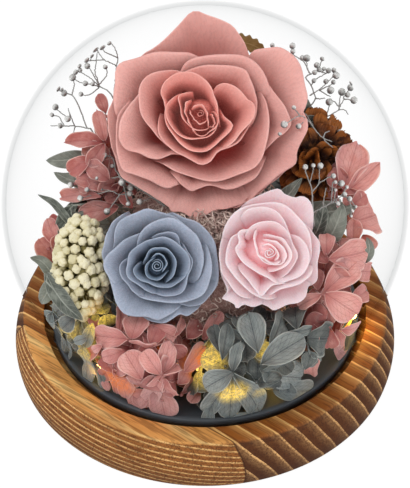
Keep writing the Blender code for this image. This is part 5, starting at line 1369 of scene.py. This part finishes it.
sprigs = {
    "upper_left": {
        "stems": [
            [(-26, 6, -48), (-38, 24, -36), (-45.8, 53, -12.3), (-53.3, 59.6, -16.5)], [(-53.3, 59.6, -16.5),
            (-54, 63.3, -12.6), (-55, 65.9, -12.3), (-54.6, 72.1, -15.4), (-54.4, 76.9, -17.8)],
            [(-53.3, 59.6, -16.5), (-57.3, 63.3, -12.7), (-60.9, 65.7, -17.5), (-62.9, 67.3, -17.3)],
            [(-53.3, 59.6, -16.5), (-53.2, 60.2, -16.1), (-56.7, 66.4, -13.9), (-58.3, 68.9, -17.1)],
            [(-53.2, 60.2, -16.1), (-49.7, 64.9, -16.9), (-49.3, 67.2, -15.6), (-49.9, 68.9, -13.3)],
            [(-53.3, 59.3, -16.7), (-56.6, 60, -12.3), (-59.9, 60.7, -13.6), (-63.6, 61.7, -17.7),
            (-66.5, 63.8, -15.4)], [(-53.3, 59, -16.9), (-56.8, 55.9, -14.9), (-59.9, 54.6, -12.3),
            (-62, 55.3, -12.6)], [(-45.8, 53, -12.3), (-44.8, 68.3, -17.8), (-45.1, 70.3, -17.8),
            (-50.3, 72.4, -12.1), (-54.4, 77.6, -17.9)], [(-50.3, 72.4, -12.1), (-57.7, 72.6, -18),
            (-59.9, 72.9, -16.8)], [(-45.1, 70.3, -17.8), (-44.9, 69.6, -18), (-43.8, 73.9, -17.2), (-45.5, 79, -12),
            (-48.1, 81, -14.3)], [(-43.8, 73.9, -17.2), (-50.1, 76.5, -13.6), (-52.3, 79.6, -17.6)],
            [(-54.4, 77.6, -17.9), (-56.5, 78.9, -16.4)], [(-57.7, 72.6, -18), (-57.4, 75.2, -17.7)],
            [(-62.9, 67.3, -17.3), (-63.2, 69.7, -14.9)], [(-58.3, 68.9, -17.1), (-59.3, 69.8, -18)],
            [(-62.9, 67.3, -17.3), (-65, 66.5, -15.3)]],
        "buds": [
            (-48.1, 81, -14.3, 1.31), (-52.3, 79.6, -17.6, 1.82), (-56.5, 78.9, -16.4, 1.97),
            (-57.4, 75.2, -17.7, 1.31), (-59.9, 72.9, -16.8, 1.71), (-63.2, 69.7, -14.9, 1.31),
            (-59.3, 69.8, -18, 1.72), (-62.9, 67.6, -17.1, 1.31), (-65, 66.5, -15.3, 1.41),
            (-66.5, 63.8, -15.4, 1.96), (-49.9, 68.9, -13.3, 1.31), (-59.9, 60.7, -13.6, 1.46),
            (-56.2, 60.3, -12.4, 1.2), (-62, 55.3, -12.6, 1.3)]},
    "left": {
        "stems": [
            [(-34, 2, -44), (-50, 20, -34), (-56.8, 37.2, -18.1), (-59.5, 38.7, -20), (-62.6, 46.8, -21.6),
            (-65, 52.5, -19), (-68, 55.8, -23.7), (-71.3, 56.4, -22.3)], [(-67.7, 55.5, -23.4), (-66.4, 60.8, -24),
            (-66.8, 62.8, -23)], [(-59.5, 38.7, -20), (-66, 39.9, -22.7), (-73, 39.8, -19.1), (-78.4, 40.1, -23.9)],
            [(-66, 39.9, -22.7), (-68.2, 45.9, -18.4), (-69.1, 48.7, -20.7)], [(-68.2, 45.9, -18.4),
            (-68.2, 43.2, -18), (-70.3, 44.7, -19.4), (-74.7, 47.9, -23.9), (-75.7, 49.4, -22.2)],
            [(-73, 39.8, -19.1), (-70.9, 39.7, -18), (-72.4, 42, -19.8), (-74, 44.5, -23), (-77.6, 45.5, -22.8)],
            [(-66, 39.9, -22.7), (-66, 39.2, -23.2), (-67.1, 35.6, -23.9)], [(-71.3, 56.4, -22.3),
            (-74.8, 58.6, -18.1)], [(-73.1, 57.5, -20.2), (-72.3, 58.2, -19.3)]],
        "buds": [
            (-74.8, 58.6, -18.1, 1.57), (-72.3, 58.2, -19.3, 0.96), (-71.4, 56.4, -22.2, 1.83),
            (-75.7, 49.4, -22.2, 1.78), (-77.6, 45.5, -22.8, 1.22), (-69.2, 43.2, -18.1, 1.72),
            (-73, 39.8, -19.1, 1.47)]},
    "middle_left": {
        "stems": [
            [(-36, -8, -24), (-38, 2, -4), (-41.5, 13.3, 7.6), (-44, 17.2, 2.6), (-45.2, 23, 4.6), (-48.6, 23.8, 8)],
            [(-41.5, 13.3, 7.6), (-20.2, 0.3, 7.6), (-27.2, 4.3, 4.4), (-31, 7.6, 7.1), (-36.3, 11.4, 2.9),
            (-41.5, 13.3, 7.6)], [(-41.5, 13.6, 7.5), (-49.1, 13, 2.3), (-58.8, 14.9, 3.8)], [(-36.3, 11.4, 2.9),
            (-36.6, 6.2, 2.3), (-41.9, 5, 5), (-46.3, 6.9, 6.9), (-51.1, 7.2, 2.1), (-57.6, 7.3, 7.7)],
            [(-20.2, 0.3, 7.6), (-20, -0.8, 8), (-26, 3.1, 2.4), (-29.7, 1.8, 5.7), (-31.9, 1.3, 7.6)],
            [(-46.3, 6.9, 6.9), (-55.3, 4.7, 3.1), (-60.8, 3.2, 8)], [(-58.8, 14.9, 3.8), (-63.2, 12.1, 2),
            (-65.9, 9.8, 2.3)], [(-41.9, 5, 5), (-44.8, 0.8, 5.4), (-48, -3.5, 6.1)], [(-44.3, 18.7, 3.1),
            (-45.5, 19, 2.3)], [(-54, 14, 3), (-53, 13, 6.8)], [(-51.6, 13.5, 2.7), (-50.9, 12.9, 3.8)],
            [(-40.2, 12.8, 6.5), (-40.5, 10.7, 7.5)], [(-39.3, 5.6, 3.6), (-37.6, 0.3, 4.8)]],
        "buds": [
            (-49.1, 24, 7.8, 1.56), (-45.5, 19, 2.3, 1.18), (-58.8, 14.9, 3.8, 1.08), (-53, 13, 6.8, 1.08),
            (-50.9, 12.9, 3.8, 1.28), (-40.5, 10.7, 7.5, 1.86), (-36.3, 8.5, 2, 1.87), (-65.9, 9.8, 2.3, 1.58),
            (-57.6, 7.3, 7.7, 1.27), (-51.1, 7.2, 2.1, 1.38), (-60.8, 3.2, 8, 1.56), (-37.2, 5.3, 2.2, 1.48),
            (-31.9, 1.3, 7.6, 1.57), (-37.6, 0.3, 4.8, 1.28), (-48, -3.5, 6.1, 1.76)]},
    "upper_right": {
        "stems": [
            [(28, 8, -50), (40, 30, -38), (49.4, 41.4, -12.4), (51.8, 47.6, -13.4), (55.3, 53, -13.3),
            (54.6, 55.9, -15.2), (53.5, 59.8, -15.7), (50.2, 63.7, -12), (52.9, 65.3, -12.8)], [(55.3, 53, -13.3),
            (60.2, 53.2, -12.7)], [(54.6, 55.9, -15.2), (52.7, 54.9, -15.9), (57.2, 57.7, -14), (61, 61.1, -12.7),
            (63.8, 63.7, -12.1)], [(57.2, 57.3, -13.9), (63, 54.1, -14.4)], [(57.2, 57.3, -13.9), (62.1, 59.5, -12),
            (63.6, 60.3, -12.2)], [(53.5, 59.8, -15.7), (53.7, 60.7, -15.5), (55.4, 62.8, -15.7),
            (60.8, 65.9, -15.2)], [(51.8, 47.6, -13.4), (60.1, 44.3, -16), (67.1, 47.3, -13), (69.8, 47.4, -12),
            (71.8, 45.2, -13.8)], [(67.1, 47.3, -13), (67.2, 48, -13.3), (67.8, 53.6, -15.5), (68.7, 55.2, -15.5)],
            [(67.2, 48, -13.3), (67.6, 49.2, -13.6), (69.9, 53, -13.6)], [(67.2, 49.2, -13.9), (64.7, 52, -16),
            (62.7, 51.4, -15.3)], [(60.1, 44.3, -16), (60.8, 44.3, -16), (62.4, 49.4, -15.8), (62.3, 51.1, -15.2)],
            [(49.4, 41.4, -12.4), (49.4, 38.4, -12), (54.7, 37, -15.8), (60.1, 44, -16)], [(49.4, 41.4, -12.4),
            (49.4, 40.4, -12.1), (52.6, 38.5, -13.7), (55.8, 35.5, -15.8), (58.3, 32.3, -12.6), (60.6, 31.5, -12.1),
            (64, 30.6, -14.8)], [(60.6, 31.5, -12.1), (62.1, 36.8, -12.2)], [(60.6, 31.5, -12.1), (65.8, 34.2, -14.3),
            (67.3, 36, -14.7)], [(69.9, 53, -13.6), (74.5, 52.2, -12.6)], [(69.9, 53, -13.6), (69.7, 54.1, -14.4),
            (73, 58.6, -13.9), (74.6, 61.4, -14)], [(60.8, 65.9, -15.2), (57.3, 67.7, -15), (58.8, 73.1, -13.5)],
            [(52.9, 65.3, -12.8), (51.4, 67.5, -12.1), (49.6, 71.7, -15.1), (43.9, 75.5, -12.6), (43.7, 79.3, -12.1)],
            [(52.9, 65.3, -12.8), (51.4, 67.5, -12.1), (50.9, 72.7, -14.5)], [(43.9, 75.5, -12.6), (38, 76.8, -14.8),
            (33.8, 79.7, -14.4)], [(49.4, 41.4, -12.4), (47.5, 38.7, -12.5), (39.7, 40.1, -14.7)],
            [(48.2, 72.7, -14.5), (48.9, 73.6, -16)], [(57.7, 69.1, -14.7), (55.9, 69.7, -12.9)], [(59, 66.8, -15.1),
            (59.7, 68.2, -16)], [(52.9, 65.3, -12.8), (54.9, 66.2, -13.9)], [(60.8, 65.9, -15.2),
            (61.9, 67.2, -15.1)], [(63.8, 63.7, -12.1), (64.7, 67.2, -12.8)], [(63.8, 63.7, -12.1),
            (65.6, 64.5, -12)], [(62.1, 59.5, -12), (62.8, 57.1, -12.8)], [(49.4, 41.4, -12.4), (49.8, 44.9, -4),
            (52, 40, 4), (54.2, 36.1, 8), (57.6, 32.6, 8), (62, 30.7, 8)], [(54.2, 36.1, 8), (50, 41, 8),
            (45.4, 38, 12)], [(57.6, 32.6, 8), (59, 35, 6), (61.1, 36.1, 4)], [(52, 40, 4), (46, 43, 14),
            (38.1, 38.6, 18)], [(46, 43, 14), (43, 46.9, 15)], [(57.6, 32.6, 8), (60, 30, 8), (62.5, 28, 7)]],
        "buds": [
            (45.4, 38, 12, 1.5), (38.1, 38.6, 18, 1.9), (43, 46.9, 15, 1.2), (36, 34, 18, 1),
            (43.7, 79.3, -12.1, 1.7), (43.9, 76.6, -12.2, 1.4), (48.9, 73.6, -16, 1.51), (51, 73.3, -14.8, 1.91),
            (58.8, 73.1, -13.5, 1.36), (55.9, 69.7, -12.9, 1.61), (57.3, 67.7, -15, 1.41), (59.7, 68.2, -16, 1.11),
            (54.9, 66.2, -13.9, 1.41), (61.9, 67.2, -15.1, 1.51), (64.7, 67.2, -12.8, 1.51), (65.6, 64.5, -12, 1.95),
            (54.7, 62.2, -15.5, 1.31), (64.2, 61.2, -12.2, 1.3), (60.5, 61.7, -13.4, 1.41), (62.8, 57.1, -12.8, 1.96),
            (62.3, 51.5, -15, 2.01), (68.7, 56.5, -15.9, 2.01), (71.4, 55, -13.3, 1.51), (73, 58.6, -13.9, 1.91),
            (74.6, 61.4, -14, 1.31), (74.5, 52.2, -12.6, 1.96), (67.5, 36.4, -14.7, 1.41), (33.8, 79.8, -14.4, 1.31)]},
    "right": {
        "stems": [
            [(36, -2, -28), (48, -2, -6), (52.7, -10.4, 14.5), (52.1, -4.5, 17.5), (51.9, 6.2, 14.6),
            (50.3, 11.2, 15.3), (48.6, 15.6, 18)], [(51.9, 6.2, 14.6), (55.1, 10.3, 15.1), (55.4, 16.3, 14.2)],
            [(55.1, 10.3, 15.1), (59.7, 13.1, 17.5)], [(50.3, 11.2, 15.3), (51, 11.2, 14.8), (52.4, 16.9, 16.5)],
            [(52.1, -4.5, 17.5), (52.1, -3.9, 17.7), (60.5, 0.5, 14), (66.1, 4.3, 15.3)], [(60.5, 0.5, 14),
            (61.2, 1.1, 14), (61.5, 10.6, 17.5)], [(61.2, 1.1, 14), (62.4, 1.1, 14.2), (63.1, 5.6, 14.2)],
            [(60.5, 0.5, 14), (57.2, -0.8, 15.4), (58.4, 8.1, 18)], [(66.1, 4.3, 15.3), (69.6, 2.9, 18),
            (72.9, -0.9, 14.6)], [(69.6, 2.9, 18), (71.2, -2.7, 14.9)], [(48.6, 15.6, 18), (48.3, 18.2, 17.4)],
            [(52.4, 16.9, 16.5), (52.1, 18.8, 17.5)], [(55.4, 16.3, 14.2), (55.7, 18.7, 14.7)], [(59.7, 13.1, 17.5),
            (61.8, 13.8, 18)], [(61.5, 10.6, 17.5), (62.8, 10.9, 16.8)], [(61.5, 10.6, 17.5), (65.9, 10.3, 14.3)],
            [(66.1, 4.3, 15.3), (68.6, 8.5, 15.1)], [(63.1, 5.6, 14.2), (63, 7.1, 14.8)], [(63.3, 2.4, 14.7),
            (64.2, 0.5, 15.7)], [(71.2, -2.7, 14.9), (70.7, -5.5, 14.2)]],
        "buds": [
            (48.3, 18.2, 17.4, 1.45), (52.1, 18.8, 17.5, 1.16), (55.7, 18.7, 14.7, 1.65), (61.8, 13.8, 18, 1.35),
            (62.8, 10.9, 16.8, 1.06), (65.9, 10.3, 14.3, 1.75), (68.6, 8.5, 15.1, 0.97), (63, 7.1, 14.8, 0.97),
            (67.4, 4.9, 16.2, 1.35), (69.6, 2.9, 18, 1.35), (64.2, 0.5, 15.7, 1.26), (72.9, -0.9, 14.6, 0.82),
            (71.2, -2.7, 14.9, 0.82), (70.7, -5.5, 14.2, 0.87)]},
}


twigs = {
    "stem": (0.55, 0.34), "branch": (0.34, 0.24), "wander": 0.10,  # radii at the foot and at the tip
    # a bud's two tones, dark foot to bright top, are painted shade and painted highlight
    "bud": (tone(130, 130, 130), tone(255, 255, 252)), "bark": tone(160, 158, 155), "spot": tone(120, 118, 108),
}


def sprigParts(sprig, rng):
    parts = []
    for k, stem in enumerate(sprig["stems"]):
        count = 6 * len(stem)
        path = throughPoints(stem, count)
        path[1:-1] += rng.normal(0, twigs["wander"], (count - 2, 3))
        thick = twigs["branch" if k else "stem"]
        parts.append(tubePart(path, np.linspace(*thick, count), 6, 0.1))
    for across, up, out, radius in sprig["buds"]:
        way = unit(np.array([across, up, 0]) / 60 + rng.normal(0, 0.25, 3) + [0, 0.2, 0.5])
        turn, count = anyTurn(rng), rng.integers(4, 6)

        def puckered(d):
            folds = np.abs(np.sin(count / 2 * np.arctan2(d[:, 1], d[:, 0]) + turn))
            return 1 + 0.10 * d[:, 2] - 0.16 * (1 - folds) * (0.4 + 0.6 * np.clip(d[:, 2], 0, 1))

        parts.append(ballPart((across, up, out), radius, 9, 16, rng.uniform(0.4, 1.0), way, puckered))
    return settled(parts)


def buildSprigs():
    look = Finish("silver sprig", {"IOR": 1.5, "Specular IOR Level": 0.7})
    along, _, shade, _ = look.shades()
    cloud = look.noise(900, 3, 0.6)
    onBud = shade.fade(0.2, 0.4)
    # painted shade and highlight: each bud darker at its foot and bright towards its top
    budShadeAndShine = look.blend(along.fade(0.25, 0.88), *twigs["bud"])
    look.paint("Base Color", look.coats(twigs["bark"], (onBud, budShadeAndShine), (cloud.fade(0.45, 0.65) * 0.5, twigs["spot"])))
    look.paint("Metallic", onBud * 0.4)
    look.paint("Roughness", 0.12 + cloud * 0.16)
    look.bump(cloud, 0.0003, 0.6)
    rng = np.random.default_rng(21)
    for name, sprig in sprigs.items():
        makePiece("silver_" + name, sprigParts(sprig, rng), look, "silver_sprig", ["sprig_" + name])


buildSprigs()
print("sprigs built")


# The mossy mound: a lump with curled fibres all over it, thickest between the three roses

moss = {
    "at": (0, -30, -28), "size": (46, 50, 46), "lump": 0.95, "knobs": 0.02, "fibres": 1450,
    "between": (0, -12, 14), "extra": 390, "thick": 0.30,
    "sunk": 0.93, "proud": 1.09,  # how deep and how high fibres may lie, in shares of the mound's size
    "dark": tone(172, 136, 128), "light": tone(255, 236, 224), "rosy": tone(204, 152, 146),
    "tangle": tone(214, 180, 168),
}


def mossFibre(start, at, size, rng):
    heading = unit(rng.normal(0, 1, 3))
    turn = unit(rng.normal(0, 1, 3)) * rng.uniform(0.5, 1.3)
    steps = [start]
    for _ in range(rng.integers(9, 16)):
        heading = unit(heading + np.cross(turn, heading) * 0.7 + rng.normal(0, 0.18, 3))
        local = (steps[-1] + heading * rng.uniform(0.7, 1.2) - at) / size
        away = np.linalg.norm(local)
        steps.append(at + local / away * min(max(away, moss["sunk"]), moss["proud"]) * size)
    path = throughPoints(steps, len(steps) + 3)
    return tubePart(path, moss["thick"] * rng.uniform(0.8, 1.3), 3, rng.uniform(0.25, 1))


def tucked(points):  # the top of the mound falls back under the large rose
    low = np.clip(points[:, 1] + 8, 0, 30) * np.clip((points[:, 2] + 25) / 15, 0, 1)
    return points - low[:, None] * [0, 0, 1.0]


def buildMoss():
    rng = np.random.default_rng(9)
    at, size = np.array(moss["at"], float), np.array(moss["size"], float)
    points, faces, shades = ballPart((0, 0, 0), 1.0, 40, 60, 0.1)
    knobs = np.sin(points @ np.array([[19, 7, 3], [5, 23, 9], [11, 4, 17]])).sum(axis=1)[:, None]
    parts = [(points * (1 + moss["knobs"] * knobs) * size * moss["lump"] + at, faces, shades)]
    for _ in range(moss["fibres"]):
        parts.append(mossFibre(at + unit(rng.normal(0, 1, 3)) * size * rng.uniform(0.94, 1.04), at, size, rng))
    focus = unit((np.array(moss["between"]) - at) / size)
    for _ in range(moss["extra"]):
        ball = unit(focus + rng.normal(0, 0.22, 3))
        parts.append(mossFibre(at + ball * size * rng.uniform(0.98, 1.08), at, size, rng))

    look = Finish("pale moss", {"IOR": 1.4, "Specular IOR Level": 0.2})
    _, _, shade, _ = look.shades()
    tangle = abs(look.noise(420, 3, 0.6) - 0.5).fall(0.0, 0.05) * shade.fall(0.1, 0.2)
    look.paint("Base Color", look.coats(
        look.blend(shade.fade(0.1, 0.9), moss["dark"], moss["light"]),
        (look.noise(200, 3, 0.6).fade(0.5, 0.8) * 0.5, moss["rosy"]),
        (tangle * 0.8, moss["tangle"])))
    look.paint("Roughness", 0.8)
    look.bump(look.noise(700, 3, 0.6), 0.0008, 0.8)
    parts = settled((tucked(points), faces, shades) for points, faces, shades in parts)
    makePiece("moss_bed", parts, look, "pale_moss", ["moss_mound"])


buildMoss()
print("moss built")


# The copper wire and its lamps

lightString = {
    "wire": 0.35, "sway": 0.45, "twist": 90, "lamp": 0.8, "longer": 0.35, "glow": 1.6, "watts": 0.006,
    "above": 0.0035, "softness": 0.0025,               # of the point lights, in metres
    "shade": tone(255, 206, 100), "core": tone(255, 214, 120), "glass": (tone(140, 96, 40), tone(170, 124, 60)),
    "copper": (tone(190, 110, 60), tone(226, 156, 100)),
    "unlit": (2, 5, 6, 7),                             # among the front flowers, where lampSpots stand for them
    "bright": {9: 2.6},
    "rests": [("upright", (-44, 36, -66)), ("upright", (-58, -6, -62)), ("facing", (-47, -56.5, 2)),
              ("upright", (-52, -56, -62)), ("upright", (-26, -42, -66.5)), ("facing", (-3.6, -80, 13)),
              ("facing", (7.5, -73, 16)), ("facing", (14, -94, 8)), ("upright", (34, -44, -66.5)),
              ("upright", (75, -17, -63)), ("upright", (48, 34, -66)), ("upright", (4, 46, -66))],
}


def addLight(name, kind, power, place):
    light = bpy.data.lights.new(name, kind)
    light.energy = power
    lamp = bpy.data.objects.new(name, light)
    lamp.location = place
    bpy.context.scene.collection.objects.link(lamp)
    return lamp


def buildLights():
    rests = np.array([facing(p) if kind == "facing" else upright(p) for kind, p in lightString["rests"]])
    path = throughPoints(rests, 220)
    twist = np.linspace(0, lightString["twist"], len(path))
    strands = []
    for phase in (0, math.pi):
        sway = np.stack([np.cos(twist + phase), np.sin(twist + phase), np.zeros(len(path))], -1)
        strands.append(tubePart(path + sway * lightString["sway"], lightString["wire"], 6))
    wire = Finish("copper wire", {"Metallic": 1.0, "Roughness": 0.3})
    wire.paint("Base Color", wire.blend(wire.noise(300), *lightString["copper"]))
    makePiece("copper_strands", strands, wire, "copper_wire", ["light_string"])

    drops = [ballPart(rest, lightString["lamp"], 8, 12, along=(0.3, 0.2, 1),
                      scales=lambda d: 1 + lightString["longer"] * d[:, 2]**2) for rest in rests]
    glow = Finish("lamp drop", {"Emission Strength": lightString["glow"], "Roughness": 0.2})
    core = glow.noise(400, 2, 0.5)
    glow.paint("Emission Color", glow.blend(core, lightString["shade"], lightString["core"]))
    glow.paint("Base Color", glow.blend(core, *lightString["glass"]))
    makePiece("lamp_drops", drops, glow, "copper_wire", ["light_string"])

    for k, rest in enumerate(rests):
        if k not in lightString["unlit"]:
            light = addLight("lamp_light_%02d" % k, "POINT", lightString["watts"] * lightString["bright"].get(k, 1.0),
                             Vector(rest * mm) + Vector((0, 0, lightString["above"])))
            light.data.color = lightString["shade"][:3]
            light.data.shadow_soft_size = lightString["softness"]


buildLights()
print("lights built")


# Floor, light and camera

studio = {
    "floor": 6.0, "floorShade": 0.16, "floorGrit": 0.2, "floorGlow": 0.92, "skyStrength": 0.85, "skyInGlass": 0.3,
    "key": {"at": (-0.55, -0.35, 1.15), "size": 0.55, "power": 3.2, "mirrored": True},
    "fill": {"at": (0.7, -0.7, 0.5), "size": 0.9, "power": 1.0, "mirrored": False},
    "lens": 119.5, "sensor": 36.0, "distance": 0.8, "elevation": 41.17, "tip": -1.39,
}


def buildFloor():
    mesh = bpy.data.meshes.new("floor")
    half = studio["floor"]
    mesh.from_pydata([(-half, -half, 0), (half, -half, 0), (half, half, 0), (-half, half, 0)], [], [(0, 1, 2, 3)])
    floor = bpy.data.objects.new("floor", mesh)
    bpy.context.scene.collection.objects.link(floor)
    look = Finish("pale floor", {"Roughness": 0.9, "Specular IOR Level": 0.1,
                                 "Emission Strength": studio["floorGlow"], "Emission Color": (1, 1, 1, 1)})
    plain, grit = [(shade, shade, shade, 1) for shade in (studio["floorShade"], studio["floorGrit"])]
    look.paint("Base Color", look.blend(look.noise(3.0, 2, 0.5) * 0.05, plain, grit))
    mesh.materials.append(look.material)
    floor.visible_glossy = False


def buildSky():
    sky = bpy.data.worlds.new("studio")
    sky.use_nodes = True
    tree = sky.node_tree
    background = tree.nodes["Background"]
    background.inputs["Color"].default_value = (1, 1, 1, 1)
    path = tree.nodes.new("ShaderNodeLightPath")
    dimmer = tree.nodes.new("ShaderNodeMapRange")  # less in reflections than behind the glass
    dimmer.inputs["To Min"].default_value = studio["skyStrength"]
    dimmer.inputs["To Max"].default_value = studio["skyInGlass"]
    tree.links.new(path.outputs["Is Glossy Ray"], dimmer.inputs["Value"])
    tree.links.new(dimmer.outputs["Result"], background.inputs["Strength"])
    bpy.context.scene.world = sky
    bpy.context.scene.view_settings.view_transform = "Standard"


def buildStudioLights():
    for name in ("key", "fill"):
        setting = studio[name]
        lamp = addLight(name, "AREA", setting["power"], setting["at"])
        lamp.data.size = setting["size"]
        lamp.rotation_euler = (Vector(globeCentre * mm) - lamp.location).to_track_quat("-Z", "Y").to_euler()
        lamp.visible_glossy = setting["mirrored"]
        lamp.visible_camera = False
        lamp.visible_transmission = False


def buildCamera():
    lift = math.radians(studio["elevation"])
    towards = Vector((0, -math.cos(lift), math.sin(lift)))
    across = Vector((0, 0, 1)).cross(towards).normalized()
    over = towards.cross(across)
    turn = Matrix((across, over, towards)).transposed() @ Matrix.Rotation(math.radians(studio["tip"]), 3, "X")
    view = bpy.data.cameras.new("camera")
    view.lens = studio["lens"]
    view.sensor_width = studio["sensor"]
    camera = bpy.data.objects.new("camera", view)
    camera.location = Vector(globeCentre * mm) + towards * studio["distance"]
    camera.rotation_euler = turn.to_euler()
    bpy.context.scene.collection.objects.link(camera)
    bpy.context.scene.camera = camera


buildFloor()
buildSky()
buildStudioLights()
buildCamera()
print("studio and camera set")
